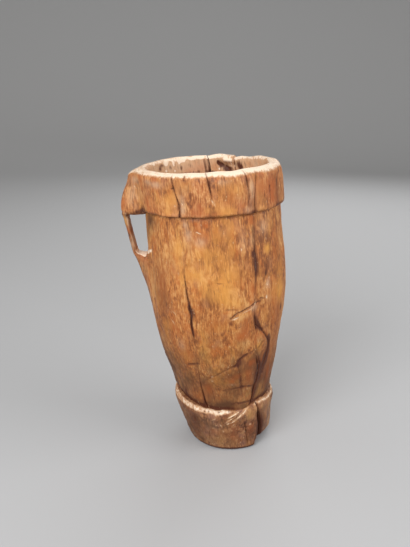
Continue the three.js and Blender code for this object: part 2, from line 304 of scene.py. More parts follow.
def ease(low, high, value):
    """0 below low, 1 above high, and the smooth cubic 3t^2 - 2t^3 between them."""
    share = np.clip((value - low) / (high - low), 0, 1)
    return share * share * (3 - 2 * share)


def in_metres(table):
    """The rows of a list as an array. Their first number stays in degrees, and the others go from millimetres
    to metres. A row of a crack that gives no half width is where the crack ends."""
    longest = max(map(len, table))
    rows = np.array([(*row, crack_end)[:longest] for row in table], float)
    rows[:, 1:] /= mm_per_metre
    return rows


def wall_radius(height):
    """Outer radius of the barrel wall at a height, about the straight axis."""
    return smooth_through(wall_stations, height)


def lean_log(radius, angle, height):
    """Places in the leaning log: the axis moves sideways with height, and above the belly each point also
    rises with its own x and falls with its own y, which tilts the rim."""
    x, y = radius * np.cos(angle), radius * np.sin(angle)
    tilted = ease(belly_height, band_start, height) * (rim_tilt * x - rim_nod * y)
    return np.stack([x + smooth_through(lean_stations, height), y, height + tilted], -1)


def waves(angle, height, turns, span, seed, count=26):
    """Unevenness of about -1 to 1: a sum of cosines of angle and height. Each wave goes round the log a whole
    number of times, up to turns, and repeats upwards over span or more."""
    draw = np.random.default_rng(seed)
    around = draw.integers(-turns, turns + 1, count)
    upward = draw.uniform(-1, 1, count) * 2 * np.pi / span
    start = draw.uniform(0, 2 * np.pi, count)
    total = np.zeros(np.broadcast(angle, height).shape)
    for turn, climb, begin in zip(around, upward, start):
        total = total + np.cos(angle * turn + height * climb + begin)
    return total * math.sqrt(2 / count)


def blade_marks(angle, height, around, rise, seed):
    """Shallow dishes left by the blade, 0 at a dish's middle and near 1 on the ridges between dishes. There
    is one centre in each cell of a grid, around cells round the log and one cell each rise upwards, and a
    point takes its squared distance to the nearest centre."""
    spots = np.random.default_rng(seed).uniform(0.1, 0.9, (64, around, 2))
    column = np.mod(angle / (2 * np.pi), 1) * around
    row = height / rise + 8
    nearest = np.full(np.broadcast(angle, height).shape, 4.0)
    for up in (-1, 0, 1):
        for side in (-1, 0, 1):
            cell_row = np.floor(row).astype(int) + up
            cell_column = np.floor(column).astype(int) + side
            spot = spots[cell_row % 64, cell_column % around]
            apart = (column - cell_column - spot[..., 0]) ** 2 + (row - cell_row - spot[..., 1]) ** 2
            nearest = np.minimum(nearest, apart)
    return nearest


def near_angle(angle, centre, width):
    """1 at an angle in degrees and falling off on both sides of it as a bell of that half width."""
    apart = np.angle(np.exp(1j * (angle - math.radians(centre))))
    return np.exp(-((apart / math.radians(width)) ** 2))


def crowd(count, density, start=-np.pi, end=np.pi):
    """Angles from start to end, closer together where density is higher: the running sum of the density is
    cut into equal shares."""
    fine = np.linspace(start, end, 8001)
    total = np.concatenate([[0], np.cumsum((density(fine[1:]) + density(fine[:-1])) / 2)])
    return np.interp(np.linspace(0, total[-1], count), total, fine)


def crack_field(angle, height, radius, courses):
    """For every point: signed distance to the nearest course, and the half width of the crack there. A course
    is a list of (angle, height, half width), laid out flat round the point at its own radius. A half width
    below nothing ends a crack, and beyond crack_reach from the course it drops, so that a crack stays by
    itself."""
    distance = np.full(angle.shape, 1.0)
    half = np.full(angle.shape, -1.0)
    for course in courses:
        degrees, level, width = in_metres(course).T
        middle = math.radians(degrees.mean())
        offset = np.angle(np.exp(1j * (angle - middle)))[..., None]
        across = (np.radians(degrees) - middle - offset) * radius[..., None]
        upward = level - height[..., None]
        start = np.stack([across[..., :-1], upward[..., :-1]], -1)
        step = np.stack([np.diff(across, axis=-1), np.diff(upward, axis=-1)], -1)
        share = np.clip(-(start * step).sum(-1) / np.maximum((step**2).sum(-1), no_length), 0, 1)
        reach = start + share[..., None] * step
        gap = np.hypot(reach[..., 0], reach[..., 1])
        best = gap.argmin(-1)[..., None]
        pick = lambda values: np.take_along_axis(values, best, -1)[..., 0]
        side = np.sign(pick(step[..., 0] * start[..., 1] - step[..., 1] * start[..., 0]))
        here = pick(width[:-1] + share * np.diff(width))
        closer = pick(gap) < np.abs(distance)
        distance = np.where(closer, np.where(side == 0, 1, side) * pick(gap), distance)
        half = np.where(closer, here - 0.5 * np.maximum(pick(gap) - crack_reach, 0), half)
    return distance, half


def groove(field, steepness=3.5, widest=0.004):
    """Depth of the V that a crack cuts into the wood: deeper where the crack is wider."""
    distance, half = field
    reach = np.maximum(half, 0) + groove_shoulder
    return np.clip(1 - np.abs(distance) / reach, 0, 1) * np.clip(steepness * half, 0, widest)


def blots(angle, height, radius, marks):
    """Soft oval patches: each mark is (angle, height, half width, half height, strength), in degrees and
    millimetres, and where marks meet they add up."""
    total = np.zeros(np.broadcast(angle, height).shape)
    for degrees, *sizes, strength in marks:
        level, wide, tall = np.array(sizes) / mm_per_metre
        across = np.angle(np.exp(1j * (angle - math.radians(degrees)))) * radius
        total = total + strength * np.exp(-((across / wide) ** 2) - ((height - level) / tall) ** 2)
    return total


def bend_corner(start, pull, end, count):
    """Points of a rounded corner from start to end, pulled towards a third point."""
    share = np.linspace(0, 1, count)[:, None]
    start, pull, end = np.array([start, pull, end])
    return (1 - share) ** 2 * start + 2 * share * (1 - share) * pull + share**2 * end


def profile_of(*parts):
    """One profile of (radius, height) rows from several stretches, with shared ends kept once."""
    rows = np.vstack([np.asarray(part, float) for part in parts])
    keep = np.concatenate([[True], np.hypot(*np.diff(rows, axis=0).T) > 1e-6])
    return rows[keep]


def stretch(start, end, count):
    """Evenly spaced points on a straight line."""
    return np.linspace(start, end, count)


def skin(name, points, ring=True, loop=False):
    """A closed mesh over a grid of points [row, column], and the grid numbers of its vertices. With ring the
    last column meets the first, and without it both end columns are closed by strips across the section.
    With loop the last row meets the first, and without it the first and last row each become one pole.
    Faces are turned outwards by the sign of the volume that they enclose."""
    rows, columns = points.shape[:2]
    numbers = np.arange(rows * columns).reshape(rows, columns)
    if not loop:
        numbers[0] = numbers[0, 0]
        numbers[-1] = numbers[-1, 0]
    down = np.vstack([numbers, numbers[:1]]) if loop else numbers
    across = np.hstack([down, down[:, :1]]) if ring else down
    faces = np.stack([across[:-1, :-1], across[:-1, 1:], across[1:, 1:], across[1:, :-1]], -1).reshape(-1, 4)
    if not ring:
        there, back = numbers[:rows // 2], numbers[::-1][:rows // 2]
        first = np.stack([there[:-1, 0], there[1:, 0], back[1:, 0], back[:-1, 0]], -1)
        last = np.stack([back[:-1, -1], back[1:, -1], there[1:, -1], there[:-1, -1]], -1)
        faces = np.concatenate([faces, first, last])
    place = points.reshape(-1, 3)
    corners = place[faces]
    halves = np.cross(corners[:, 1], corners[:, 2]) + np.cross(corners[:, 2], corners[:, 3])
    if np.einsum("ij,ij->", corners[:, 0], halves) < 0:
        faces = faces[:, ::-1]
    used, compact = np.unique(faces, return_inverse=True)
    closed = [list(dict.fromkeys(face)) for face in compact.reshape(faces.shape).tolist()]
    mesh = bpy.data.meshes.new(name)
    mesh.from_pydata(place[used].tolist(), [], [face for face in closed if len(face) > 2])
    mesh.polygons.foreach_set("use_smooth", [True] * len(mesh.polygons))
    piece = bpy.data.objects.new(name, mesh)
    bpy.context.scene.collection.objects.link(piece)
    return piece, used


def mark(piece, used, **layers):
    """Writes vector attributes: each layer is three values for every point of the piece's grid."""
    for name, parts in layers.items():
        values = np.stack(np.broadcast_arrays(*parts), -1).reshape(-1, 3)
        layer = piece.data.attributes.new(name, "FLOAT_VECTOR", "POINT")
        layer.data.foreach_set("vector", values[used].astype(np.float32).ravel())


def fade(tree, value, low, high):
    """0 at low, 1 at high and a smooth step between, which may run downwards."""
    step = tree.nodes.new("ShaderNodeMapRange")
    step.interpolation_type = "SMOOTHSTEP"
    plug(tree, step.inputs["Value"], value)
    step.inputs["From Min"].default_value = low
    step.inputs["From Max"].default_value = high
    return step.outputs["Result"]


def grain(tree, place, scale, detail, number, length=1):
    """Noise around one half. A length draws it out along the log by squeezing its places, and the number
    picks another noise of the same kind."""
    if length != 1:
        squeeze = tree.nodes.new("ShaderNodeMapping")
        plug(tree, squeeze.inputs["Vector"], place)
        squeeze.inputs["Scale"].default_value = (1, 1, 1 / length)
        place = squeeze.outputs[0]
    noise = tree.nodes.new("ShaderNodeTexNoise")
    noise.noise_dimensions = "4D"
    plug(tree, noise.inputs["Vector"], place)
    noise.inputs["W"].default_value = grain_step * number
    noise.inputs["Scale"].default_value = scale
    noise.inputs["Detail"].default_value = detail
    noise.inputs["Roughness"].default_value = grain_roughness
    return noise.outputs[0]


def layer_parts(tree, name):
    """The three values of one of the piece's vector attributes."""
    layer = tree.nodes.new("ShaderNodeAttribute")
    layer.attribute_name = name
    parts = tree.nodes.new("ShaderNodeSeparateXYZ")
    tree.links.new(layer.outputs["Vector"], parts.inputs[0])
    return parts.outputs


def log_wood(name, deep, main, light, cracks=(), cuts=()):
    """Wood of the log. Wide noise gives cloudy mottling, and noise drawn out along the leaning log gives
    streaks, fibres, pores and hairline checks. The piece's attributes place the rest: one is how far a
    point lies inside the worn pale wood, its dark stain together with painted shade, and its red warmth,
    another is soot together with painted shade, gold and grey, where gold and grey also paint light and
    sheen, and each crack or cut layer is signed distance, half width and darkness."""
    material, tree, shader = new_material(name)
    add, less, times = (partial(calc, tree, operation) for operation in ("ADD", "SUBTRACT", "MULTIPLY"))
    step, lay = partial(fade, tree), partial(blend, tree)
    upright = tree.nodes.new("ShaderNodeMapping")
    upright.inputs["Rotation"].default_value = (0, math.atan2(-lean_stations[-1][0], crest_height), 0)
    plug(tree, upright.inputs["Vector"], tree.nodes.new("ShaderNodeTexCoord").outputs["Object"])
    wander = tree.nodes.new("ShaderNodeTexNoise")
    plug(tree, wander.inputs["Vector"], upright.outputs[0])
    wander.inputs["Scale"].default_value = sway_scale
    sway = tree.nodes.new("ShaderNodeVectorMath")
    sway.operation = "MULTIPLY_ADD"
    plug(tree, sway.inputs[0], wander.outputs["Color"])
    sway.inputs[1].default_value = (sway_reach, sway_reach, sway_reach)
    plug(tree, sway.inputs[2], upright.outputs[0])
    noise = partial(grain, tree, sway.outputs[0])

    def tinted(red, green, blue):
        return paint(*np.minimum(np.array(main) * (red, green, blue), 255))

    mottle, cloud, dapple = noise(21, 3, 1), noise(90, 3, 2, 2.2), noise(250, 3, 16, 1.5)
    streak, fibre, fleck = noise(430, 3, 3, 6), noise(900, 2, 4, 20), noise(620, 2, 5, 3)
    tone = times(mottle, 0.8)
    for part, weight in ((cloud, 0.8), (dapple, 0.55), (streak, 0.8), (fibre, 0.6), (fleck, 0.55)):
        tone = add(tone, times(part, weight))
    tones = tree.nodes.new("ShaderNodeValToRGB")
    plug(tree, tones.inputs[0], times(tone, 1 / tone_weights))
    for end, position, shade in zip(tones.color_ramp.elements, tone_span, (deep, light)):
        end.position, end.color = position, paint(*shade)
    tones.color_ramp.elements.new(0.5).color = paint(*main)
    colour = tones.outputs[0]
    for scale, number, share, tint in patch_tints:
        colour = lay(times(step(noise(scale, 5, number, 1.8), 0.52, 0.64), share), colour, tinted(*tint))

    pale, stain_and_shade, warm = layer_parts(tree, "wear")
    soot_and_shade, gold, grey = layer_parts(tree, "age")
    patchy = times(less(cloud, 0.5), 1.6)

    def laid(amount, strength):
        return times(add(amount, times(patchy, step(amount, 0.0, 0.3))), strength, clamp=True)

    # Gold and grey also lay painted light and sheen, and soot and stain also lay painted shade, where the
    # pieces place them for that.
    colour = lay(laid(gold, 0.8), colour, tinted(*gold_tint))
    colour = lay(laid(grey, 0.85), colour, paint(*grey_dust_and_light))
    soot_and_shade_share = times(step(add(soot_and_shade, patchy), 0.0, 1.0), step(soot_and_shade, 0.0, 0.15))
    colour = lay(soot_and_shade_share, colour, paint(*soot_and_shade_brown))
    colour = lay(laid(warm, 0.9), colour, tinted(*warm_tint))
    blotch = add(stain_and_shade, times(less(streak, 0.5), 1.5))
    colour = lay(times(step(blotch, 0.1, 1.0), step(stain_and_shade, 0.0, 0.2)), colour, paint(*stain_and_shade_brown))

    pores = step(noise(620, 1, 6, 14), 0.6, 0.72)
    colour = lay(times(pores, 0.4), colour, paint(*pore_brown))
    chips = step(noise(330, 2, 7, 2), 0.65, 0.74)
    colour = lay(times(chips, 0.4), colour, paint(*chip_tan))
    hair = calc(tree, "ABSOLUTE", less(noise(75, 1, 8, 34), 0.5))
    hairline = times(step(hair, 0.012, 0.0), step(noise(26, 2, 9), 0.46, 0.6))
    colour = lay(times(hairline, 0.35), colour, paint(*hairline_brown))

    inset = add(pale, times(less(add(cloud, dapple), 1.0), 0.0027))
    worn = step(inset, -0.0021, 0.0009)
    bleached = step(add(inset, times(less(add(streak, dapple), 1.0), 0.006)), -0.0006, 0.0026)
    colour = lay(worn, colour, lay(bleached, paint(*worn_tan), paint(*bleached_tan)))

    ragged = noise(640, 2, 10)
    broken = step(noise(170, 3, 15), 0.36, 0.56)
    depth = times(hairline, -0.5)
    for layers, tint, spread, push in ((cracks, *crack_browns, -1.0), (cuts, *cut_tans, -0.4)):
        for layer in layers:
            distance, half, dark_share = layer_parts(tree, layer)
            away = calc(tree, "ABSOLUTE", distance)
            edge = times(half, add(times(ragged, 2.0), 0.1))
            line = times(times(step(less(edge, away), -0.00015, 0.00025), broken), dark_share)
            rim = less(times(half, times(ragged, 5.0)), away)
            halo = times(step(rim, -0.0014, 0.0006), dark_share)
            colour = lay(times(halo, 0.5), colour, paint(*spread))
            colour = lay(line, colour, paint(*tint))
            depth = add(depth, times(line, push))

    for part, weight in ((streak, 0.8), (fibre, 0.6), (fleck, 0.5), (pores, -0.3), (cloud, 1.2)):
        depth = add(depth, times(part, weight))
    bump = tree.nodes.new("ShaderNodeBump")
    plug(tree, bump.inputs["Strength"], less(0.6, times(worn, 0.35)))
    bump.inputs["Distance"].default_value = wood_relief
    plug(tree, bump.inputs["Height"], depth)
    plug(tree, shader.inputs["Base Color"], colour)
    rough = add(times(less(cloud, 0.5), 0.5), wood_roughness)
    plug(tree, shader.inputs["Roughness"], add(rough, times(worn, 0.12)))
    shader.inputs["Specular IOR Level"].default_value = wood_specular
    plug(tree, shader.inputs["Normal"], bump.outputs[0])
    return material


def ledge_lift(angle):
    """How far the worn edge of the ledge lies above its mean level, going round the log."""
    degrees, level = in_metres(ledge_edge).T
    return smooth_through(np.stack([level - foot_height, np.radians(degrees)], -1), angle)


def foot_surface():
    """The turned profile of the foot with its unevenness, ledge and cleft, as a grid of places, and the
    grid's angles, straight heights and radii, its cracks and how far each row is from the neck."""
    mouth = neck_radius - wall_thickness
    side_start = (ground_edge_radius, ground_edge_height)
    side_end = (foot_radius, foot_height - ledge_round)
    crease = (seat_radius, ledge_top + 0.0006)
    seat = (seat_radius - tuck, ledge_top)
    profile = profile_of(
        stretch((0, 0), (ground_radius, 0), underside_rows),
        bend_corner((ground_radius, 0), (ground_edge_radius, 0), side_start, 12),
        stretch(side_start, side_end, 44),
        bend_corner(side_end, (foot_radius, foot_height), (neck_radius, ledge_top), 22),
        stretch((neck_radius, ledge_top), crease, 5),
        stretch(crease, seat, 4),
        stretch(seat, (mouth, ledge_top), 5),
        bend_corner((mouth, ledge_top), (mouth, hollow_floor), (floor_radius, hollow_floor), 14),
        stretch((floor_radius, hollow_floor), (0, hollow_floor), 10),
    )
    middle = cleft[cleft_bend][0]
    even = crowd(foot_columns + 1, lambda angle: 1 + 1.6 * near_angle(angle, -85, 60)
                 + 4.5 * near_angle(angle, middle, 6))[:-1]
    radius, height = profile[:, :1], profile[:, 1:]
    course = np.radians(np.interp(height, *in_metres(cleft)[::-1, 1::-1].T))
    angle = even + (course - math.radians(middle)) * near_angle(even, middle, 9)
    height = height + 0 * angle
    radius = radius + 0 * angle
    rows = np.arange(len(profile))[:, None]
    outside = (rows >= underside_rows) & (rows < outside_rows)
    smooth_top = 1 - 0.75 * ease(0.046, 0.058, height)
    uneven = (0.0005 * waves(angle, height, 8, 0.05, 11) + 0.00018 * waves(angle, height, 40, 0.012, 12)
              + 0.0012 * (blade_marks(angle, height, 26, 0.017, 13) - 0.25) * smooth_top)
    split = crack_field(angle, height, radius, foot_splits)
    opened = crack_field(angle, height, radius, [cleft])
    wide = np.maximum(opened[1], 0)
    slope, widening, roundness = (np.where(angle > course, *sides) for sides in zip(cleft_right, cleft_left))
    wedge = np.clip(1 - np.abs(opened[0]) / (slope + widening * wide), 0, 1) ** roundness
    deep = cleft_least + cleft_depth * ease(0.075, 0.02, height)
    beside_cleft = (ease(math.radians(-47.5), math.radians(-44), angle)
                    * ease(math.radians(12), math.radians(-18), angle))
    lobe = lobe_height * beside_cleft * ease(0.018, 0.002, height)
    tucked = ground_tuck * ease(0.0045, 0, height)
    radius = radius + ease(0.0, 0.005, height) * outside * (uneven - groove(split))
    radius = radius - (outside | (rows == underside_rows - 1)) * (wedge * deep + lobe + tucked)
    ground = radius[underside_rows] / radius[underside_rows].max()
    underside = profile[:, :1] * ground * (1 - ground_tuck / ground_radius)
    radius = np.where(rows < underside_rows, underside, radius)
    top = ease(0.028, foot_height - 0.006, height) * ease(mouth, seat_radius - tuck, radius)
    worn_height = height + top * (ledge_lift(angle) + 0.0003 * waves(angle, 0 * height, 30, 1, 14))
    along = np.concatenate([[0], np.cumsum(np.hypot(*np.diff(profile, axis=0).T))])
    neck_row = np.hypot(*(profile - (neck_radius, ledge_top)).T).argmin()
    from_neck = (along[neck_row] - along)[:, None]
    return lean_log(radius, angle, worn_height), angle, height, radius, split, opened, from_neck


places, angle, height, radius, split, opened, from_neck = foot_surface()
foot, used = skin("foot", places)
ledge_degrees, wear_middle, wear_half, wear_most = in_metres(ledge_wear).T
at_degrees = np.degrees(np.angle(np.exp(1j * angle)))
wear_in = (np.interp(at_degrees, ledge_degrees, wear_half)
           - np.abs(from_neck - np.interp(at_degrees, ledge_degrees, wear_middle)))
wear_in = np.minimum(wear_in, np.interp(at_degrees, ledge_degrees, wear_most))
# Painted shade: the lowest few millimetres of the foot are darkened along the ground.
contact_shade = 1.6 * ease(0.0060, 0.0015, height) * (radius > 0.03)
laid_on, cracked = partial(blots, angle, height, radius), partial(crack_field, angle, height, radius)
# Of the stain blots, the two at height 0 are painted shade along the ground edge and under the cut-back lobe
# right of the cleft, and the two beside the cleft darken its valley, partly as painted shade.
stain_and_shade = contact_shade + laid_on([
    (-135, 30, 10, 30, 0.55), (-47.5, 30, 6, 30, 1), (-42, 26, 6, 22, 0.7), (-90, 0, 50, 6, 0.5),
    (-103, 52, 10, 3, 0.4), (-128, 50, 6, 10, 0.5), (-68, 47, 4, 4, 0.6), (-67, 30, 3, 20, 0.4),
    (-33, 0, 22, 12, 1.7), (-73, 40, 8, 2, 0.4)])
warm = laid_on([
    (-60, 35, 6, 10, 0.8), (-87, 29, 10, 8, 0.5), (-105.5, 32, 10, 8, 0.4), (-80, 48, 12, 6, 0.4),
    (-78, 15, 12, 6, 0.3)])
# The broad blot at -142 degrees darkens the left side of the foot, partly as painted shade.
soot_and_shade = laid_on([
    (-142, 30, 30, 40, 0.6), (-112, 45, 16, 8, 0.5), (60, 30, 60, 30, 0.4), (150, 20, 50, 30, 0.5),
    (-38, 35, 8, 25, 0.4)])
gold = laid_on([
    (-30, 50, 10, 12, 0.7), (-62.2, 56.5, 4, 8, 1), (-90, 12, 14, 8, 0.5), (-102, 20, 10, 8, 0.4)])
grey = laid_on([(-108, 40, 10, 12, 0.25), (-22, 35, 8, 20, 0.35)])
mark(foot, used, wear=(np.clip(wear_in, -wear_reach, wear_reach), stain_and_shade, warm), age=(soot_and_shade, gold, grey),
     splits=(*split, 0.5), cleft=(*opened, 0.7), pits=(*cracked(ledge_pits), 0.9),
     cuts=(*cracked(ledge_cuts), 1.0), nicks=(*cracked(short_cuts), 0.8))
foot.data.materials.append(log_wood("foot_wood", (92, 58, 39), (150, 100, 68), (182, 136, 94),
                                    cracks=("splits", "cleft", "pits"), cuts=("cuts", "nicks")))
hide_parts("foot_block")
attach(foot, "root")


# Barrel: the wall of the hollowed log, between the ledge of the foot and the rim. It swells from a narrow
# neck to a belly and is rubbed smooth outside and gouged inside. Drying has opened two long checks in its
# front, and a slip of the knife left a gash with pale chips beside it.
undercut_depth = 0.0042
undercut_height = 0.015
barrel_columns = 420
barrel_rows = 196
inside_rows = 36
tongue = 0.004
inner_skin = 0.0002
# inside_grey pales the whole inside, as its own paler wood and as painted light against the shade in the
# hollow.
inside_grey = 0.75
course_middle = 0.2
front_checks, check_nearness, back_darkness = (-112, -57), 0.97, 0.8
shallow_place = (-69, 13)

left_check = [
    (-114.9, 333, 0.4), (-114.9, 310.5, 0.4), (-115.2, 299, 0.35), (-114.9, 286.5, 0.4), (-115, 273, 0.5),
    (-115.6, 263.5, 0.6), (-114.7, 251.5, 0.7), (-114, 241, 0.8), (-113.2, 230.5, 0.9), (-112.2, 221, 1.1),
    (-111.6, 209, 1.2), (-112.4, 197.5, 1.1), (-112, 191.5, 1), (-111.4, 184.5, 0.8), (-111.2, 173.5, 0.5),
    (-111.7, 157, 0.6), (-111.8, 143.5, 0.65), (-112.2, 131, 0.4), (-113.2, 113.5, 0.6), (-114, 102, 0.7),
    (-113.4, 91, 0.9), (-112, 77.5, 1), (-111.4, 66, 0.6)]
left_darkness = [(66, 0.9), (90, 0.85), (120, 0.55), (135, 0.3), (170, 0.3), (182, 0.6), (200, 0.8),
                 (245, 0.75), (262, 0.5), (272, 0.25), (310, 0.2), (333, 0.3)]
right_check = [
    (-57, 333, 0.6), (-56.5, 318.5, 0.8), (-57.2, 308, 0.6), (-57.5, 297.5, 0.7), (-58.4, 287, 1),
    (-58, 278, 1.2), (-58, 269.5, 1.2), (-58.2, 260.5, 0.9), (-59.3, 249.5, 0.6), (-60, 238, 0.6),
    (-60.2, 228.5, 0.6), (-60.6, 218, 0.5), (-60.2, 208, 0.8), (-59, 199, 1.1), (-58, 190, 0.9),
    (-57, 178, 0.6), (-56, 165, 0.6), (-54.8, 146.5, 0.8), (-51.7, 130, 1.3), (-50.3, 116.5, 1.7),
    (-50.8, 108, 1.8), (-53.3, 98.5, 1.3), (-55, 87, 1.1), (-56.3, 76.5, 1), (-56.5, 66, 0.6)]
right_darkness = [(66, 0.75), (100, 0.85), (130, 0.95), (142, 0.7), (152, 0.3), (160, 0.12), (182, 0.12),
                  (190, 0.7), (205, 0.6), (215, 0.3), (247, 0.3), (262, 0.55), (290, 0.55), (305, 0.25),
                  (333, 0.3)]
back_checks = [
    [(62, 333, 0.6), (61, 300, 0.5), (63, 262, 0.3), (62.5, 235)],
    [(90.5, 333, 0.7), (91.5, 290, 0.6), (90, 240, 0.5), (92, 190, 0.4), (91, 150)],
    [(-20, 190), (-18.5, 165, 0.4), (-20, 130, 0.6), (-19, 100, 0.4), (-19.5, 80)],
    [(30, 310), (31, 270, 0.4), (29, 220, 0.5), (30.5, 180)],
    [(140, 170), (141.5, 140, 0.5), (139.5, 100, 0.5), (141, 68, 0.4)],
]
branches = [
    [(-58.3, 195, 0.5), (-55.5, 190.5, 1), (-51.5, 185, 0.9), (-46.2, 174.5, 1), (-41.3, 164.5, 1.4),
     (-41, 155.5, 1.3), (-42.4, 143, 0.9), (-44.5, 130.5, 0.6), (-46, 120)],
    [(-80.3, 208.5, 0.3), (-77.5, 212.5, 0.6), (-74.5, 214.8, 0.7), (-69.2, 218, 0.6), (-65.2, 220, 0.6),
     (-61.5, 223.5, 0.7), (-58.5, 225, 0.5), (-55.7, 225.5, 0.4), (-52, 226.5)],
    [(-58, 228.5), (-54, 229.2, 0.4), (-47.5, 226.8)],
]
seams = [
    [(-111, 111.5), (-104, 117.5, 0.6), (-96.2, 124, 0.9), (-85.8, 133, 1.1), (-76, 140, 1.3),
     (-72, 148.5, 1.3), (-66.5, 153.5, 0.9), (-59.5, 156.5, 0.8), (-56, 159)],
    [(-124.6, 133.5), (-120, 137.2, 0.7), (-116.8, 138.8, 0.8), (-113, 140.3, 0.8), (-107.2, 142.5)],
    [(-75, 152), (-74, 139.5, 1), (-72.2, 126.5, 1.1), (-71, 115, 1.4), (-69.8, 103, 1.1),
     (-68.8, 91.5, 0.6), (-68.5, 84)],
    [(-92.5, 99.5), (-86, 100.5, 0.7), (-77.8, 102, 0.9), (-67.8, 104, 1), (-58, 102, 0.6), (-54, 101)],
    [(-84, 77.5), (-76, 78.2, 1.1), (-63.5, 77.5, 1.3), (-58.5, 77.8, 0.8), (-55, 78)],
    [(-52.5, 150), (-52, 142, 0.7), (-49.5, 132, 0.8), (-48.5, 122)],
    [(-46.5, 172), (-49, 166, 0.7), (-52.5, 161, 0.5), (-55.5, 159)],
    [(-137, 94), (-138, 89, 0.8), (-139.5, 78, 1.1), (-140.5, 69, 0.9)],
    [(-36, 120), (-37, 108, 0.6), (-38, 94, 0.5), (-38.5, 82)],
]
lines = [
    [(-91, 254.8), (-88.8, 253.3, 0.6), (-83.8, 254)],
    [(-84.8, 220.2, 0.2), (-82, 219.7, 0.8), (-78, 219.5, 0.4), (-73, 220)],
    [(-71.5, 275), (-71.6, 262, 0.3), (-71.8, 245.5, 0.3), (-72.4, 224)],
    [(-103.5, 110), (-101.5, 98, 0.4), (-100.5, 83, 0.4), (-100, 72)],
    [(-127, 190), (-126, 170, 0.3), (-127.5, 150)],
    [(-33, 235), (-32, 200, 0.4), (-33.5, 165)],
    [(-121, 128), (-122, 112, 0.4), (-124, 94, 0.4), (-124.5, 78)],
    [(-65, 260), (-63.5, 254, 0.4), (-61.5, 249.5)],
    [(-84, 185), (-83.2, 172, 0.3), (-83.8, 158)],
    [(-96, 290), (-95.5, 278, 0.3), (-95.8, 268)],
    [(-105, 178), (-104.2, 165, 0.4), (-104.8, 150)],
]
pale_nicks = [
    [(-80.8, 206.2), (-78.2, 207, 0.7), (-75.5, 208.5, 0.8), (-73.4, 210.5)],
    [(-72.5, 212.8), (-68.5, 215.2, 0.3), (-65, 216.8, 0.2), (-62.5, 218.8, 0.4), (-60.3, 221.5, 0.2),
     (-59.3, 226.2, 0.6), (-59, 231)],
    [(-47.2, 242.5), (-47.4, 245, 1.2), (-47.2, 247.5)],
    [(-47.8, 225.5), (-48, 228.5, 1.3), (-48.1, 231.8)],
    [(-45.2, 250), (-45, 252, 0.6), (-44.9, 254.5)],
    [(-100.8, 112.5), (-99.8, 115, 0.8), (-98.6, 116.5)],
    [(-100, 120.5), (-99.2, 122.5, 0.7), (-98.4, 124.5)],
    [(-104.8, 315), (-103.2, 314.8, 0.3), (-100.5, 313.2, 0.3), (-99, 312.5)],
    [(-70.2, 294.5), (-69.5, 291.5, 0.6), (-69.8, 288.5)],
    [(-131, 213), (-127, 209, 0.35), (-124, 203)],
    [(-133, 200), (-130, 196, 0.35), (-127.5, 190)],
    [(-46.5, 301), (-46, 298.5, 0.5), (-45.8, 296)],
]


def outer_unevenness(angle, height):
    """The rubbed outside: broad swells, long ribs along the log and faint blade marks."""
    return (0.0005 * waves(angle, height, 7, 0.09, 21) + 0.00016 * waves(angle, height, 46, 0.16, 22, 40)
            + 0.0010 * (blade_marks(angle, height, 24, 0.034, 23) - 0.25)
            + 0.00008 * waves(angle, height, 70, 0.012, 24, 40))


def hollow_radius(angle, height):
    """Inside of the log: the wall's outer radius less its thickness, with the long flutes of the gouge."""
    flutes = 0.0007 * (blade_marks(angle + 0.3, height, 34, 0.07, 25) - 0.2)
    return wall_radius(height) - wall_thickness + flutes + 0.0004 * waves(angle, height, 9, 0.08, 26)


def follow(even, height, *courses):
    """Angles that start evenly laid and run along each course near it."""
    angle = even + 0 * height
    for course in courses:
        degrees, level, _ = in_metres(course)[::-1].T
        middle = float(np.interp(course_middle, level, degrees))
        angle = angle + np.radians(np.interp(height, level, degrees) - middle) * near_angle(even, middle, 9)
    return angle


def check_darkness(angle, height):
    left, right = (np.interp(height * mm_per_metre, *np.array(stations).T)
                   for stations in (left_darkness, right_darkness))
    by_left, by_right = (np.cos(angle - math.radians(degrees)) > check_nearness for degrees in front_checks)
    return np.where(by_left, left, np.where(by_right, right, back_darkness))


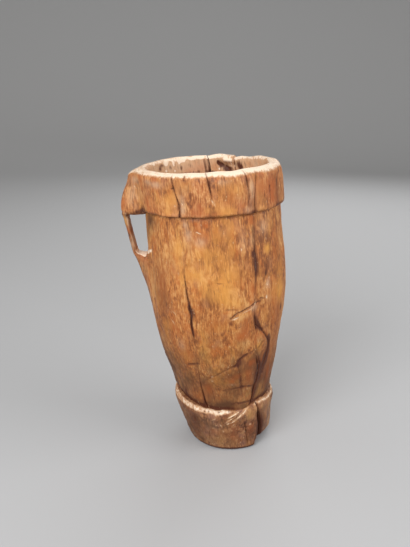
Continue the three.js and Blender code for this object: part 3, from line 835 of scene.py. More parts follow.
def barrel_surface():
    """Outer wall up and inner wall down, joined by a tongue at each end that sits inside the next member."""
    low, high = ledge_top - tongue, band_start + tongue
    outer_height = np.linspace(low, high, barrel_rows)[:, None]
    even = crowd(barrel_columns + 1, lambda angle: 1 + 2.0 * near_angle(angle, -84, 52)
                 + 5 * near_angle(angle, -111.2, 1.8) + 5.5 * near_angle(angle, -59, 3.2))[:-1]
    angle = follow(even, outer_height, left_check, right_check)
    height = outer_height + 0 * angle
    radius = wall_radius(np.maximum(height, ledge_top))
    fields = {name: crack_field(angle, height, radius, courses) for name, courses in (
        ("checks", [left_check, right_check, *back_checks]), ("splits", branches), ("seams", seams),
        ("lines", lines), ("nicks", pale_nicks))}
    cut = (groove(fields["checks"]) * check_darkness(angle, height) ** 2
           + groove(fields["splits"], 2.5, 0.002) + groove(fields["seams"], 1.2, 0.001)
           + groove(fields["lines"], 1.2, 0.0007) + groove(fields["nicks"], 1.0, 0.0007))
    lift = ledge_lift(angle)
    under = undercut_depth * (1 - ease(0.001, undercut_height, height - ledge_top - lift))
    under = under * (0.75 + 0.35 * near_angle(angle, -150, 70) - 0.75 * near_angle(angle, *shallow_place))
    under = under + 0.0012 * (1 - ease(0, 0.005, band_start - height))
    laid_on = partial(blots, angle, height, radius)
    slot_hollow = laid_on([(180, 300, 24, 24, 0.0016), (180, 279, 22, 13, 0.003)])
    fuller = laid_on([(-18, 262, 22, 35, 0.0013), (-22, 112, 22, 24, 0.0016)])
    radius = radius + outer_unevenness(angle, height) - cut - under - slot_hollow + fuller
    inner_height = np.linspace(high, low, inside_rows)[:, None]
    inner_angle = even + 0 * inner_height
    inner_level = inner_height + 0 * inner_angle
    into_wood = tongue * 0.9 * np.maximum(1 - ease(0, 0.002, inner_level - ledge_top),
                                          ease(-0.003, -0.001, inner_level - band_start))
    inner_radius = hollow_radius(inner_angle, inner_level) + into_wood + inner_skin
    sound = np.ones(inner_radius.shape)
    fields = {name: (np.vstack([distance, sound]), np.vstack([half, -sound]))
              for name, (distance, half) in fields.items()}
    return (np.vstack([radius, inner_radius]), np.vstack([angle, inner_angle]),
            np.vstack([height, inner_level]), fields)


radius, angle, height, fields = barrel_surface()
barrel, used = skin("barrel", lean_log(radius, angle, height), loop=True)
outside = np.arange(len(radius))[:, None] < barrel_rows
low_down = ease(0.215, 0.08, height)
at_checks = check_darkness(angle, height)
darkness = {"checks": 0.78 * at_checks, "splits": 0.6, "seams": 0.12, "lines": 0.4, "nicks": 0.9}
laid_on = partial(blots, angle, height, radius)
# Among these blots, the wide ones between 69.5 and 80 mm are painted shade along the foot of the wall, those
# at 326.5 and 329 mm are painted shade under the band and the ear, and the one at -166 degrees and 308 mm is
# painted shade on the wall inside the slot.
stain_and_shade = laid_on([
    (-111.2, 215, 3.5, 8, 0.6), (-109.6, 212, 5, 8, 0.5), (-113.4, 221, 2, 4, 0.5),
    (-112.3, 195, 2, 10, 0.7), (-111.5, 187, 2, 6, 0.5), (-58.8, 275, 5, 15, 0.75), (-57, 264, 4, 12, 0.5),
    (-60.3, 284.8, 2.2, 3, 0.9), (-57.8, 300, 4, 12, 0.4), (-58.4, 314, 4, 10, 0.4),
    (-65.2, 314.5, 2.5, 5, 0.4), (-58.8, 235, 2, 20, 0.35), (-48.5, 258.5, 2.8, 5, 0.9),
    (-50.8, 251.5, 2, 4, 0.6), (-47.5, 266, 1.5, 7, 0.5), (-57.5, 200, 4, 7, 0.9), (-55.5, 192, 4, 5, 1),
    (-52, 186, 4, 4, 0.7), (-60.5, 207, 2, 6, 0.6), (-42.5, 170, 3, 6, 0.8), (-41, 157, 3.4, 12, 1.1),
    (-43, 137, 5, 11, 0.9), (-49.5, 113, 5, 11, 1.3), (-47.5, 126, 7, 12, 0.55), (-40, 145, 5, 10, 0.5),
    (-53, 95, 4.5, 10, 0.5), (-46.5, 188.5, 4, 3, 0.7), (-51.5, 118, 3, 6, 0.8), (-51.5, 128, 3, 12, 0.8),
    (-53.5, 92, 3, 14, 0.8), (-55.5, 74, 4, 6, 0.6), (-72, 144.5, 5, 6, 0.65), (-76.5, 139.5, 5, 3, 0.5),
    (-70.8, 114, 3, 10, 0.35), (-66, 152, 5, 3, 0.4), (-71.5, 158, 5, 8, 0.5), (-44, 128, 5, 18, 0.5),
    (-62, 179, 6, 6, 0.4), (-68, 77.5, 12, 1.6, 0.35), (-67, 103, 10, 3, 0.4), (-117.5, 138.5, 6, 2, 0.5),
    (-139.5, 80, 4, 10, 0.7), (-113, 73, 3, 6, 0.7), (-100, 69.5, 30, 3, 0.6), (-130, 70.5, 20, 4, 0.5),
    (-166, 308, 7, 24, 0.5), (-168, 326.5, 6, 4, 0.7), (-27.2, 206, 2.5, 6, 0.8), (0, 80, 50, 12, 0.3),
    (-105, 329, 35, 3, 0.4), (90, 75, 80, 10, 0.5), (180, 75, 80, 10, 0.5), (95, 250, 12, 50, 0.35),
    (150, 150, 20, 30, 0.3)])
for name, strength, spread in (
        ("checks", 0.6 * at_checks, 0.0017), ("splits", 0.6, 0.0017), ("seams", 0.45, 0.0019)):
    distance, half = fields[name]
    stain_and_shade = stain_and_shade + strength * np.exp(-((distance / spread) ** 2)) * ease(-0.0003, 0.0003, half)
# Painted shade: the crease just above the ledge is darkened, less where the undercut is shallow.
above_ledge = height - ledge_top - ledge_lift(angle)
stain_and_shade = stain_and_shade + (0.9 - 0.7 * near_angle(angle, *shallow_place)) * ease(0.008, 0.001, above_ledge)
warm = laid_on([
    (-104, 324.5, 3.5, 3.5, 0.8), (-95.8, 323, 4.5, 4, 1), (-96, 330, 15, 2, 0.5), (-58, 325, 6, 6, 0.4),
    (-68, 186, 10, 8, 0.55), (-72, 180, 8, 6, 0.4), (-60, 176, 7, 6, 0.4), (-47.5, 177, 5, 5, 0.5),
    (-80.2, 115, 5, 4, 0.6), (-75, 122, 6, 5, 0.4), (-63, 124, 8, 6, 0.45), (-46, 126, 7, 14, 0.8),
    (-42, 145, 6, 14, 0.7), (-66, 196, 6, 9, 0.5), (-53, 181, 6, 6, 0.45), (-60, 110, 12, 12, 0.35),
    (-60, 140, 8, 6, 0.4), (-58, 210, 8, 12, 0.35), (-38, 220, 10, 30, 0.35), (-34, 280, 6, 20, 0.5),
    (-62, 245, 6, 12, 0.4), (-128, 200, 14, 40, 0.4), (-140, 240, 12, 30, 0.4), (-95, 195, 12, 8, 0.3),
    (-104, 225, 6, 10, 0.35), (-90, 205, 12, 6, 0.3), (-118, 155, 6, 20, 0.3), (-105, 100, 8, 10, 0.35),
    (-31, 185, 12, 35, 0.35), (-33, 115, 10, 22, 0.4), (-120, 85, 10, 10, 0.4), (40, 200, 30, 50, 0.4),
    (120, 260, 30, 40, 0.3)])
# The soot layer darkens the lower wall towards the foot, partly as painted shade; its broad blots on the left
# side, at -135 to -165 degrees, and under the ear, at -151 and -160 degrees, are painted shade.
soot_and_shade = np.clip(0.62 * low_down + laid_on([
    (-92, 75, 20, 8, 0.3), (-49, 122, 10, 25, 0.6), (-134, 225, 12, 20, 0.4), (-59, 142, 8, 10, 0.4),
    (-72, 130, 16, 20, 0.25), (-104, 210, 8, 6, 0.3), (-151, 323, 20, 14, 0.6), (-160, 305, 8, 15, 0.3),
    (-33, 112, 11, 20, 0.5), (-143, 240, 16, 40, 0.45), (-135, 190, 10, 30, 0.2), (-30, 190, 10, 30, 0.3),
    (-165, 120, 30, 50, 0.3), (60, 150, 50, 80, 0.3)]), 0, 1)
# The broad gold blots on the upper front of the belly, from about -120 to -80 degrees and 235 to 300 mm, are
# painted light where the front is brightest.
gold = laid_on([
    (-106.5, 262.5, 8, 8, 0.9), (-88.8, 247.5, 16, 14, 0.7), (-80, 264, 14, 14, 0.7),
    (-97, 285, 16, 16, 0.5), (-98, 240, 12, 12, 0.5), (-45, 287, 4.5, 4.5, 1.3), (-118, 262, 7, 20, 0.6),
    (-119, 300, 7, 20, 0.45), (-86, 196, 16, 8, 0.4), (-76, 228, 10, 6, 0.5), (-33.7, 232.5, 10, 12, 0.9),
    (-30, 258, 6, 12, 0.5), (-104, 170, 6, 20, 0.6), (-96, 150, 14, 12, 0.35), (-88, 112, 12, 6, 0.55),
    (-52.5, 162.5, 4, 5, 0.9), (-61, 146, 6, 4, 0.5), (-32, 100, 10, 30, 0.7), (-43, 90, 7, 12, 0.9),
    (-85.5, 234.5, 8, 10, 0.8), (-31, 226, 6, 14, 0.8), (-122, 150, 6, 12, 0.5), (-62, 93, 6, 5, 0.5),
    (-44, 85, 6, 10, 0.4)])
# The grey blots are partly greyed wood and partly painted sheen.
grey = laid_on([
    (-110.8, 312, 5, 7, 0.6), (-100.7, 303.5, 7, 6, 0.45), (-112, 323, 4, 4, 0.6),
    (-60.5, 218.5, 5, 4, 0.7), (-64, 300, 8, 8, 0.35), (-48, 315, 8, 10, 0.4), (-125, 165, 6, 8, 0.4),
    (-80, 109.5, 6, 2, 0.4), (-40, 120, 3, 30, 0.3), (-8, 90, 6, 20, 0.5), (-46, 246, 3, 6, 0.6)])
slot_wear = laid_on([
    (-172, 270.8, 4, 2.6, 1), (-167, 273.5, 5, 3, 1),
    (-162, 276.5, 5, 3, 0.9), (-157, 279.5, 4, 3, 0.7), (-153.5, 283, 3, 3.5, 0.45)])
mark(barrel, used,
     wear=(np.where(outside, wear_reach * (2 * slot_wear - 1), -wear_reach), outside * stain_and_shade, outside * warm),
     age=(outside * soot_and_shade, outside * gold, np.where(outside, grey, inside_grey)),
     **{name: (np.where(outside, distance, 1.0), np.where(outside, half, -1.0), darkness[name])
        for name, (distance, half) in fields.items()})
barrel.data.materials.append(log_wood("wall_wood", (130, 77, 44), (189, 121, 66), (220, 163, 102),
                                      cracks=("checks", "splits", "seams", "lines"), cuts=("nicks",)))
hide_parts("barrel_wall")
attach(barrel, "root")


# Rim: a band left standing proud of the wall, with a thick lip that use has rounded and worn pale. At the
# left it swells into the ear of the lug, which hangs below the band's lower edge.
band_proud = 0.0055
band_thickness = 0.0157
band_radius = shoulder_radius + band_proud
mouth_radius = band_radius - band_thickness
band_middle = band_start + band_height / 2
band_edge_round = 0.004
lip_fall = 0.0112
lip_wear = 0.011
lip_inner_round = 0.007
ear_reach = 0.0246
ear_half_width = 0.019
ear_dip = 0.008
ear_dip_half_width = 0.026
ear_sharpness, dip_sharpness = 2.6, 4
ear_outline = [(0.84, 0), (0.94, 0.05), (0.99, 0.12), (0.90, 0.27), (0.55, 0.57), (0.42, 0.72), (0.30, 0.86),
               (0, 1)]
stave_start, stave_end = math.radians(63), math.radians(90)
half_check = 0.0008 / band_radius
rim_columns = 460
stave_columns = 56
skin_turn = 0.0026
seat_rows = 3
seat_depth = 0.003
lip_reach = 0.012
lip_wear_stations = [
    (-180, 19, 3), (-171, 11.5, 3.2), (-160, 10, 3.5), (-140, 10.4, 4), (-110, 10.8, 4.4), (-85, 11.2, 4.4),
    (-60, 11.2, 4.6), (-40, 11.6, 5.2), (-25, 11.8, 5.2), (-8, 12, 5.4), (10, 9, 6), (30, 5, 6.2),
    (58, 4, 5.4), (90, 4, 4.4), (125, 4, 5.2), (150, 4.5, 4.5), (168, 9, 3.5), (180, 19, 3)]

rim_checks = [
    [(-117.3, 379, 0.3), (-117, 373.5, 0.5), (-116.7, 365.5, 0.5), (-116.2, 360, 0.3), (-115.5, 354, 0.5),
     (-114.6, 347.5, 0.8), (-114.4, 343, 0.8), (-114.8, 336.5, 0.5), (-114.9, 331.5, 0.5)],
    [(-119.5, 366.5), (-118, 365, 0.5), (-116.6, 365.5, 0.5), (-115.4, 364)],
    [(-91, 381.8, 0.3), (-90.4, 376.5, 0.4), (-89.6, 365, 0.5), (-89.1, 356.5, 0.5), (-89.3, 350.5)],
    [(-62, 380, 0.4), (-61.6, 370, 0.6), (-60.6, 354.5, 0.3), (-62.6, 344, 0.3), (-62.8, 338)],
    [(-52.3, 378, 0.4), (-53.8, 368, 0.5), (-56.6, 350, 0.4), (-57.4, 340, 0.5), (-57.3, 331.5, 0.5)],
    [(-106.9, 379, 0.3), (-107.7, 376, 0.4), (-108.6, 372.5)],
    [(-39, 370), (-39.8, 360, 0.4), (-41, 345, 0.4), (-41.6, 334)],
    [(-46.5, 360), (-47.2, 350, 0.3), (-47.5, 340)],
    [(20, 377, 0.4), (21, 362, 0.5), (20, 345, 0.4), (20.5, 331.5, 0.3)],
    [(-5, 355), (-6, 344, 0.4), (-5.5, 331.5, 0.3)],
    [(128, 374), (127, 358, 0.5), (128.5, 343)],
]
rim_nicks = [
    [(-90, 354), (-89.3, 351, 0.4), (-88.2, 347.5, 0.5), (-87.2, 344)],
    [(-112.5, 350.5), (-111.6, 348, 0.6), (-111, 345.5)],
    [(-57.6, 356), (-58.2, 352, 0.5), (-58.5, 348)],
    [(-168, 364), (-166, 360, 0.8), (-163, 358.5)],
    [(-118.5, 347), (-118, 345.5, 0.7), (-117.3, 344.5)],
]


def evenly(profile, count):
    """Rows spaced evenly along a profile, without its first point."""
    along = np.concatenate([[0], np.cumsum(np.hypot(*np.diff(profile, axis=0).T))])
    share = np.linspace(0, along[-1], count + 1)[1:]
    return np.stack([np.interp(share, along, part) for part in profile.T], -1)


def rim_profile():
    """The band's section in two halves of equally many rows: from a seat inside the wall out, up and over to
    the crest of the lip, and from there down the inside to a seat inside the wall again."""
    seat = (shoulder_radius - 0.002, band_start)
    under_edge = (band_radius - band_edge_round, band_start)
    edge = (band_radius, band_start + band_edge_round)
    lip_edge = (band_radius, crest_height - lip_wear)
    crest = (band_radius - lip_fall, crest_height)
    mouth_edge = (mouth_radius, crest_height - lip_inner_round)
    outer = profile_of(
        stretch((shoulder_radius - 0.006, band_start - seat_depth), seat, seat_rows),
        stretch(seat, under_edge, 8),
        bend_corner(under_edge, (band_radius, band_start), edge, 9),
        stretch(edge, lip_edge, 44),
        bend_corner(lip_edge, (band_radius, crest_height), crest, 24))
    hollow = shoulder_radius - wall_thickness
    inner = profile_of(
        bend_corner(crest, (mouth_radius, crest_height), mouth_edge, 12),
        bend_corner(mouth_edge, (mouth_radius, band_middle), (hollow, band_start), 20),
        stretch((hollow, band_start), (hollow + 0.0006, band_start - 0.003), 4),
        stretch((hollow + 0.0006, band_start - 0.003), (hollow + 0.004, band_start - 0.005), 3))
    return outer, evenly(inner, len(outer))


def rim_surface(angle, lift=0.0):
    """The section of the band swept round a row of angles, with the ear, the unevenness of the carving and
    the checks. The ear stands out as a bell about the lug, sharper at its sides than a plain bell, and its
    lower edge hangs by a wider bell. Returns places, grids and how far each point is from the crest."""
    outer, inner = rim_profile()
    profile = np.vstack([outer, inner])
    along = np.concatenate([[0], np.cumsum(np.hypot(*np.diff(profile, axis=0).T))])[:, None]
    from_crest = along - along[len(outer) - 1]
    radius, level = profile[:, :1] + 0 * angle, profile[:, 1:] + 0 * angle
    rows = np.arange(len(profile))[:, None]
    outside = rows < len(outer)
    turn_back = skin_turn * ease(-0.002, 0.010, from_crest) + 0.0006 * waves(0, level, 0, 0.02, 39)
    angle = angle - turn_back / band_radius
    hangs = outside & (rows >= seat_rows)
    side = np.where(np.cos(angle) < 0, np.abs(radius * np.sin(angle)), 1.0)
    nose = np.exp(-((side / ear_half_width) ** ear_sharpness))
    droop = np.exp(-((side / ear_dip_half_width) ** dip_sharpness))
    low = (1 - ease(band_start, band_middle, level)) * hangs
    outline = [(share, band_start + rise * band_height) for share, rise in ear_outline]
    reach = ear_reach * smooth_through(outline, level)
    swell = reach * nose * ease(band_radius - lip_fall, band_radius, radius) * outside
    height = level - ear_dip * droop * low
    fields = {name: crack_field(angle, level, radius, courses)
              for name, courses in (("checks", rim_checks), ("nicks", rim_nicks))}
    skin_share = hangs * ease(band_start, band_start + 0.005, level)
    uneven = (0.00045 * waves(angle, level, 8, 0.07, 31)
              + 0.0008 * (blade_marks(angle, level, 30, 0.019, 32) - 0.6)
              + 0.00012 * waves(angle, level, 60, 0.03, 33, 40))
    cut = groove(fields["checks"], 3, 0.003) * hangs + groove(fields["nicks"], 1.5, 0.001) * hangs
    flutes = 0.0006 * (blade_marks(angle + 0.2, level, 30, 0.06, 34) - 0.2) * ~outside
    floor_of_seat = (wall_radius(np.minimum(height, band_start)) - seat_depth) * hangs
    fuller = 0.0020 * near_angle(angle, -8, 26) * np.exp(-(((from_crest + 0.004) / 0.006) ** 2))
    radius = np.maximum(radius + swell, floor_of_seat) + skin_share * uneven - cut + flutes + fuller
    lower_edge = hangs * (1 - ease(band_start, band_start + 0.012, level)) * (radius > shoulder_radius)
    height = height + lower_edge * 0.0002 * waves(angle, 0 * level, 26, 1, 35)
    lip_share = ease(crest_height - lip_reach, crest_height, level)
    height = height + lip_share * (0.0004 * waves(angle, 0 * level, 18, 1, 36) - 0.0004 + lift)
    height = height + lift * ease(band_start + 0.02, band_middle, level) * (1 - lip_share)
    fields = {name: (distance, np.where(outside, half, -1.0)) for name, (distance, half) in fields.items()}
    return radius, angle, height, level, from_crest, outside, fields


def rim_marks(angle, level, radius, from_crest, outside, fields):
    """The wear, the stains and the painted light and shade of the rim, as the layers that its wood reads."""
    at_degrees = np.degrees(np.angle(np.exp(1j * angle)))
    stations, down_outside, down_inside = in_metres(lip_wear_stations).T
    edge = np.interp(at_degrees, stations, down_outside) + 0.0005 * waves(angle, 0 * level, 12, 1, 37)
    inner_edge = np.interp(at_degrees, stations, down_inside) + 0.0010 * waves(angle, 0 * level, 22, 1, 38)
    pale = np.where(outside, edge + from_crest, inner_edge - from_crest)
    pale = np.clip(pale, -0.004, 0.0014 + 0.0026 * near_angle(angle, -80, 50))
    inside = ~outside * 1.0
    laid_on = partial(blots, angle, level, radius)
    pale = pale + inside * wear_reach * laid_on([
        (136.5, 375.5, 4.5, 3.5, 1.2), (138.5, 366.8, 3.5, 2.8, 1.3), (127, 374.2, 3, 4.5, 1.2),
        (127, 365, 2.8, 2.5, 1.2), (116, 377, 5, 3, 1.1), (120.5, 374.5, 3, 3, 1.1),
        (105.5, 378.5, 4, 2, 1), (112, 371.5, 1.5, 2, 0.9), (133, 361, 4, 3, 1), (98.5, 374, 1.2, 2, 0.8),
        (61, 367.2, 1.5, 2.4, 1.3), (79, 362.5, 1.5, 2, 1.3), (80.5, 379, 8, 2.2, 1),
        (87, 379, 5, 1.8, 0.9), (97, 379, 7, 2.4, 1), (64.6, 371, 2, 4, 1.1)])
    # The wide stain blots along the band's lower edge, at 333.5 to 338 mm, are partly painted shade under the
    # band and the ear.
    stain_and_shade = outside * laid_on([
        (-52.8, 374, 3, 6, 0.4), (-61.8, 372, 2, 8, 0.5), (-57, 350, 3.5, 18, 0.5), (-62, 352, 3, 16, 0.5),
        (-58.5, 334, 4, 3, 0.5), (-89.8, 364, 2, 10, 0.8), (-89.3, 372, 4, 4, 0.4),
        (-116.5, 364, 2.5, 5, 0.6), (-114.5, 345, 2.2, 6, 0.7), (-114.8, 334.5, 3, 3, 0.6),
        (-116.9, 373.5, 2, 4, 0.4), (-158, 338, 9, 4.5, 0.6), (-163, 333.5, 20, 3, 0.9),
        (-140, 333.5, 10, 2.5, 0.6), (-147, 352, 6, 8, 0.35), (-30, 360, 6, 20, 0.4),
        (-33, 342, 6, 10, 0.4), (-107.5, 376, 1.5, 3, 0.5), (-100, 333.5, 30, 2, 0.35),
        (-70, 333.5, 30, 2, 0.35), (-160, 366.5, 4, 4, 0.6), (-171, 362, 4, 4, 0.5),
        (-24, 334.5, 18, 2.2, 0.7), (-6, 337, 12, 5, 0.7), (-2, 352, 7, 15, 0.45), (45, 350, 12, 30, 0.3),
        (135, 350, 15, 20, 0.3)])
    # Inside, the low blots at 356.5 to 360.3 mm, from 84 to 115 degrees, are painted shade at the foot of the
    # inner wall seen over the lip, and the blots round the hole beside the knot darken it, partly as painted
    # shade.
    stain_and_shade = stain_and_shade + inside * laid_on([
        (89.3, 365, 1.3, 25, 0.8), (93.3, 365, 1.2, 25, 0.8), (91.3, 365, 3, 22, 0.3),
        (76.5, 367.5, 2.5, 3, 1.1), (71.5, 361.5, 6.5, 3.5, 0.8), (79.3, 371.5, 1.8, 3.5, 1.2),
        (66, 362, 4, 3.5, 1.3), (56.3, 372.5, 4.2, 6.2, 0.9), (54.3, 367.2, 3.8, 3.6, 0.9),
        (61.5, 370, 1.3, 7, 1), (48.7, 372.5, 0.7, 6, 0.9), (101, 362, 1.5, 6, 0.4),
        (119, 368, 1.8, 4, 0.8), (132, 370, 2.8, 4, 0.7), (143, 375.5, 4, 3, 0.8), (146.5, 371, 3, 3, 0.8),
        (131.5, 378.5, 3, 1.8, 0.7), (122.5, 369.5, 1.6, 4, 0.6), (108.5, 369, 3, 4, 0.5),
        (115, 356.5, 12, 3, 0.4), (112, 360.3, 30, 1.8, 0.5), (86, 360, 6, 1.8, 0.6), (84, 356.5, 6, 3, 0.6)])
    warm = outside * laid_on([
        (-99.5, 345, 6, 8, 0.5), (-104, 338, 6, 4, 0.5), (-35, 362, 12, 12, 0.6), (-37, 345, 10, 10, 0.6),
        (-42, 352, 12, 18, 0.35), (-90, 336, 12, 3, 0.4), (-76, 352, 8, 6, 0.45), (-68, 342, 6, 6, 0.35),
        (-50, 362, 6, 10, 0.45), (-95, 366, 8, 6, 0.35), (-147, 350, 8, 9, 0.45), (-138, 338, 8, 6, 0.4),
        (-175, 345, 8, 8, 0.3), (60, 350, 30, 20, 0.3)])
    warm = warm + inside * laid_on([
        (98, 365, 9, 8, 0.45), (112, 362.5, 8, 6, 0.4), (83, 365.5, 4, 6, 0.3)])
    soot_and_shade = outside * laid_on([
        (10, 345, 30, 20, 0.2), (-28, 350, 10, 20, 0.35), (-142.5, 369, 5, 3, 0.4), (-158, 345, 5, 6, 0.3)])
    gold = 0.4 * inside + outside * laid_on([
        (-121, 352, 10, 10, 1), (-124, 338, 10, 4, 0.6), (-80, 337, 10, 5, 0.6), (-93, 340, 4, 5, 0.5),
        (-48, 342, 6, 8, 0.5), (-160, 344, 8, 10, 0.6), (-172, 352, 6, 8, 0.5), (-70, 362, 8, 8, 0.35),
        (-134, 352, 6, 12, 0.4)])
    # The outside grey blots are partly greyed wood and partly painted sheen.
    grey = outside * laid_on([
        (-58.5, 362, 4, 12, 0.35), (-60, 340, 3, 10, 0.4), (-111.5, 352, 4, 10, 0.55),
        (-113, 341, 4, 5, 0.5), (-133, 368.5, 10, 4, 0.6), (-81, 371.5, 10, 4, 0.4), (-142, 371, 6, 3, 0.5),
        (-165, 369.5, 10, 4, 0.5), (-168, 352, 12, 10, 0.3), (-64, 337, 4, 4, 0.4)])
    # The inside is paled, as its own weathered wood and as painted light against the shade in the mouth, a
    # little more towards 125 degrees.
    grey = grey + inside * (inside_grey - 0.5 * laid_on([(83, 366, 6, 8, 1)])
                            + 0.1 * near_angle(angle, 125, 24))
    return dict(
        wear=(np.clip(pale, -wear_reach, wear_reach), stain_and_shade, warm), age=(soot_and_shade, gold, grey),
        checks=(*fields["checks"], 0.8 - 0.4 * near_angle(angle, -57, 9) - 0.2 * near_angle(angle, -90, 5)),
        nicks=(*fields["nicks"], 0.7))


span = 2 * np.pi + stave_start - stave_end - 2 * half_check
rim_angle = crowd(
    rim_columns, lambda angle: 1 + 1.5 * near_angle(angle, 180, 34) + 1.5 * near_angle(angle, -85, 45)
    + 4 * near_angle(angle, -115.5, 2.5) + 3 * near_angle(angle, -89.5, 1.5)
    + 4 * near_angle(angle, -57.5, 4),
    stave_end + half_check, stave_end + half_check + span)
fallen = -0.0020 * near_angle(rim_angle, 52, 15) - 0.0022 * near_angle(rim_angle, 62, 5)
radius, angle, height, level, from_crest, outside, fields = rim_surface(rim_angle[None, :], fallen[None, :])
rim, used = skin("rim", lean_log(radius, angle, height), ring=False, loop=True)
mark(rim, used, **rim_marks(angle, level, radius, from_crest, outside, fields))
rim_wood = log_wood("rim_wood", (126, 75, 46), (188, 120, 70), (220, 164, 108),
                    cracks=("checks",), cuts=("nicks",))
rim.data.materials.append(rim_wood)
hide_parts("rim_band")
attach(rim, "root")


# Stave of the rim: the piece of the band between its two open checks at the back. It has sprung up a little,
# and on its inner face it carries a knot that the gouge went round, with a dark hole beside it.
stave_lift = 0.0006
knot_angle = math.radians(67.5)
knot_half_length = 0.0082
knot_depth = 0.0062
knot_half_height = 0.0050
knot_level = crest_height - 0.0065
pit_angle = math.radians(73.5)
pit_level = 0.3665
pit_half_height = 0.0045
pit_half_length = 0.0085
pit_depth = 0.0025

stave_angle = np.linspace(stave_start + half_check, stave_end - half_check, stave_columns)
sprung = stave_lift * near_angle(stave_angle, 75, 9) - 0.0012 * (1 - near_angle(stave_angle, 75, 12))
radius, angle, height, level, from_crest, outside, fields = rim_surface(stave_angle[None, :], sprung[None, :])
knot = np.exp(-(((angle - knot_angle) * mouth_radius / knot_half_length) ** 4)
              - ((level - knot_level) / knot_half_height) ** 2) * ~outside
beside = (angle - pit_angle) * mouth_radius
hole = np.exp(-(((level - pit_level - 0.55 * beside) / pit_half_height) ** 2)
              - (beside / pit_half_length) ** 4) * ~outside
radius = radius - knot_depth * knot + pit_depth * hole * (1 - knot)
stave, used = skin("stave", lean_log(radius, angle, height), ring=False, loop=True)
layers = rim_marks(angle, level, radius, from_crest, outside, fields)
pale, stain_and_shade, warm = layers["wear"]
pale = np.maximum(pale, 0.0045 * knot - 0.0012)
pale = pale - 0.005 * hole * (pale < 0.003)
# The hole beside the knot is darkened, partly as painted shade in its hollow.
layers["wear"] = (np.clip(pale, -wear_reach, wear_reach), stain_and_shade + 0.7 * hole * (1 - knot), warm)
mark(stave, used, **layers)
stave.data.materials.append(rim_wood)
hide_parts("rim_stave")
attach(stave, "root")


# Lug strap: a flat bar left standing between the ear and the wall, with the slot for a carrying thong cut
# behind it. It runs down from the ear into a root that dies into the wall. The thong has worn the floor of
# the slot pale.
strap_thickness = 0.0066
strap_half_width = 0.010
strap_top_inset = 0.0012
slot_height = 0.056
slot_foot_width = 0.011
slot_foot_round = 0.005
root_length = 0.072
root_bite = 0.005
root_flare = 0.014
root_fillet = 0.011
root_slimming = 1.73
root_tuck = 0.0015
ear_overlap = 0.010
turn_fall = 0.016
root_overlap = 0.004
floor_level = band_start - ear_dip - slot_height
strap_columns = 112
strap_rows = (60, 44, 64)
squareness = 2.8


def near_height(height, level, tall):
    """1 at a height and falling off above and below it as a bell of that half height, both in millimetres."""
    return np.exp(-(((height - level / mm_per_metre) / (tall / mm_per_metre)) ** 2))


def root_edge(level):
    """Outer edge of the root: it leaves the wall by a share of the strap's place, raised to a power."""
    share = np.clip((level - (floor_level - root_length)) / root_length, 0, 1)
    return wall_radius(level) + (slot_foot_width + strap_thickness) * share**root_slimming


def strap_stations():
    """Outer and inner edge of the lug seen from its side, as equally many (radius, height) rows: the free
    strap, the turn round the foot of the slot, and the root."""
    top = band_start - ear_dip
    root_end = floor_level - root_length
    outer_top = band_radius + ear_reach - strap_top_inset
    inner_top = outer_top - strap_thickness
    inner_foot = float(wall_radius(floor_level)) + slot_foot_width
    free, turn, root = strap_rows
    turn_level = floor_level + slot_foot_round
    outer_foot = float(root_edge(floor_level))
    outer_turn = outer_foot + (outer_top - outer_foot) * slot_foot_round / slot_height
    free_outer, free_inner = (
        np.vstack([stretch((start - 0.002, top + ear_overlap), (start, top), 9)[:-1],
                   stretch((start, top), (end, turn_level), free - 8)])
        for start, end in ((outer_top, outer_turn), (inner_top, inner_foot + 0.001)))
    below = floor_level - turn_fall
    turn_height = turn_level + (below - turn_level) * np.linspace(0, 1, turn + 1)[1:] ** 1.2
    turn_radius = np.where(turn_height > floor_level,
                           np.interp(turn_height, [floor_level, turn_level], [outer_foot, outer_turn]),
                           root_edge(turn_height))
    turn_outer = np.stack([turn_radius, turn_height], -1)
    bend_end = (inner_foot - slot_foot_round, floor_level)
    turn_inner = evenly(profile_of(
        bend_corner((inner_foot + 0.001, turn_level), (inner_foot, floor_level), bend_end, 20),
        stretch(bend_end, (inner_foot - slot_foot_width - root_bite, floor_level - 0.002), 12)), turn)
    root_level = np.linspace(below, root_end - root_overlap, root + 1)[1:]
    root_outer = np.stack([root_edge(root_level) - root_tuck * (root_level < root_end), root_level], -1)
    inner_level = np.linspace(floor_level - 0.002, root_end - root_overlap, root + 1)[1:]
    root_inner = np.stack([wall_radius(inner_level) - root_bite, inner_level], -1)
    return np.vstack([free_outer, turn_outer, root_outer]), np.vstack([free_inner, turn_inner, root_inner])


def strap_surface():
    """Rounded oblong sections from the inner to the outer edge, swept down the lug. A section is
    |u|^2.8 + |v|^2.8 = 1, and near the wall it spreads out by the square of how near it is."""
    outer, inner = strap_stations()
    turn = np.linspace(-np.pi, np.pi, strap_columns, endpoint=False)[None, :]
    across, wide = (np.sign(wave(turn)) * np.abs(wave(turn)) ** (2 / squareness) for wave in (np.cos, np.sin))
    middle, half = (outer + inner) / 2, (outer - inner) / 2
    radius = middle[:, :1] + half[:, :1] * across
    height = middle[:, 1:] + half[:, 1:] * across
    below_slot = ease(floor_level + 0.001, floor_level - 0.008, height)
    near_wall = np.clip(1 - (radius - wall_radius(height)) / root_fillet, 0, 1) ** 2
    entry = ease(band_start - ear_dip - 0.005, band_start - ear_dip + 0.002, height)
    width = strap_half_width + root_flare * near_wall * below_slot + 0.003 * entry
    uneven = (0.00025 * waves(turn, height, 5, 0.03, 41)
              + 0.0006 * (blade_marks(turn, height, 9, 0.012, 42) - 0.25))
    y = -wide * (width + uneven * np.abs(wide))
    carved = uneven * across * 0.7 * (radius > wall_radius(height))
    radius = radius + carved + 0.001 * entry * np.maximum(across, 0)
    return radius, y, height, across


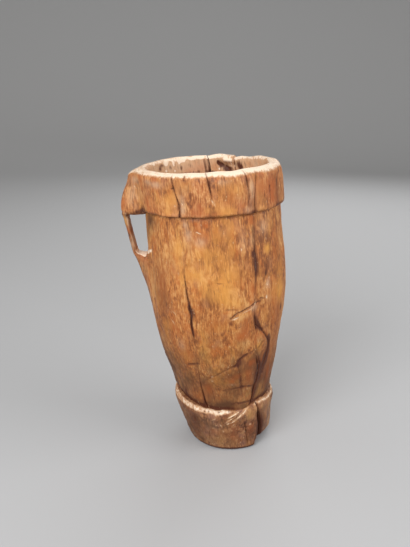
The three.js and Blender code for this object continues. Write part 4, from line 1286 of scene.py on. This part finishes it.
radius, y, height, across = strap_surface()
strap, used = skin("lug_strap", lean_log(radius, np.pi - y / radius, height))
row = np.arange(len(radius))[:, None]
turn_start = strap_rows[0] - 5
turn_end = turn_start + strap_rows[1] * 0.8
on_floor = ease(turn_start, turn_start + 6, row) * (1 - ease(turn_end, turn_end + 6, row))
near = partial(near_height, height)
pale = 0.0084 * on_floor * ease(-0.25, -0.75, across) - 0.004
rubbed = 0.003 * near(281, 6) * (across < 0.6)
# The first two stain terms darken the top of the strap under the ear, as painted shade.
stain_and_shade = (0.25 * ease(0.312, 0.322, height) * ease(0.6, -0.6, across) + 0.5 * near(324.5, 2)
         + 0.4 * ease(0.6, 1.0, across) + 0.6 * near(295.5, 4) * ease(-0.4, 0.2, across))
warm = 0.8 * (near(301, 6) + 0.6 * near(262, 10) + 0.5 * near(235, 14))
gold = 0.8 * (near(316, 6) + 0.6 * near(250, 10))
# The grey on the strap's inner face, which faces the wall, is painted light against its shade.
grey = 0.9 * ease(0.3, -0.5, across) * ease(0.275, 0.29, height) + 0.6 * near(282, 6)
mark(strap, used, wear=(pale + rubbed * ease(-0.2, 0.4, -across), stain_and_shade, warm),
     age=(0.35 * ease(0.5, 1.0, across), gold, grey))
strap.data.materials.append(log_wood("handle_wood", (104, 66, 44), (174, 117, 76), (204, 155, 108)))
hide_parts("handle_strap")
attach(strap, "root")


# Dark matter packed into the two long checks of the wall: old resin, pressed in and dressed almost flush,
# shrunk, dull and cracked across.
resin_courses = {
    "left_resin": ("resin_left", [(-113, 229), (-111.8, 212.5), (-111, 196.5)], 0.0013),
    "upper_resin": ("resin_right_upper", [(-57.8, 286.5), (-58.1, 270.5), (-58.3, 252)], 0.0017),
    "lower_resin": ("resin_right_lower", [(-52.3, 138.5), (-51, 125), (-51.6, 104)], 0.0015),
}
resin_sink = 0.0006
resin_depth = 0.0032
resin_taper = 0.35
resin_rows, resin_columns = 90, 24
resin_brown, resin_dust, resin_black = (74, 44, 35), (124, 84, 64), (42, 25, 20)


def resin_material():
    """Dull near-black brown with dusty patches and fine cracks across it."""
    material, tree, shader = new_material("check_resin")
    place = tree.nodes.new("ShaderNodeTexCoord").outputs["Object"]
    dusty = fade(tree, grain(tree, place, 260, 3, 21), 0.42, 0.66)
    colour = blend(tree, dusty, paint(*resin_brown), paint(*resin_dust))
    cracks = calc(tree, "ABSOLUTE", calc(tree, "SUBTRACT", grain(tree, place, 420, 2, 22), 0.5))
    broken = fade(tree, cracks, 0.02, 0.0)
    colour = blend(tree, broken, colour, paint(*resin_black))
    bump = tree.nodes.new("ShaderNodeBump")
    bump.inputs["Strength"].default_value = 0.6
    bump.inputs["Distance"].default_value = 0.0005
    plug(tree, bump.inputs["Height"], calc(tree, "SUBTRACT", grain(tree, place, 500, 3, 23), broken))
    plug(tree, shader.inputs["Base Color"], colour)
    plug(tree, shader.inputs["Roughness"], calc(tree, "ADD", calc(tree, "MULTIPLY", dusty, 0.3), 0.5))
    plug(tree, shader.inputs["Normal"], bump.outputs[0])
    return material


pitch = resin_material()
for number, (name, (node, course, half_width)) in enumerate(resin_courses.items()):
    degrees, level = in_metres(course).T
    height = np.linspace(level[0], level[-1], resin_rows)[:, None]
    taper = np.sin(np.linspace(0, np.pi, resin_rows))[:, None] ** resin_taper
    turn = np.linspace(-np.pi, np.pi, resin_columns, endpoint=False)[None, :]
    half = half_width * taper * (1 + 0.12 * waves(0 * height, height, 1, 0.02, 50 + number))
    lump = 0.00025 * waves(turn, height, 3, 0.008, 60 + number)
    course_angle = np.radians(np.interp(-height, -level, degrees))
    depth = resin_depth * taper / 2
    radius = wall_radius(height) - resin_sink - depth + (depth + lump) * np.cos(turn)
    angle = course_angle + half * np.sin(turn) / radius
    filling, used = skin(name, lean_log(radius, angle, height + 0 * turn))
    filling.data.materials.append(pitch)
    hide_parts(node)
    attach(filling, "root")
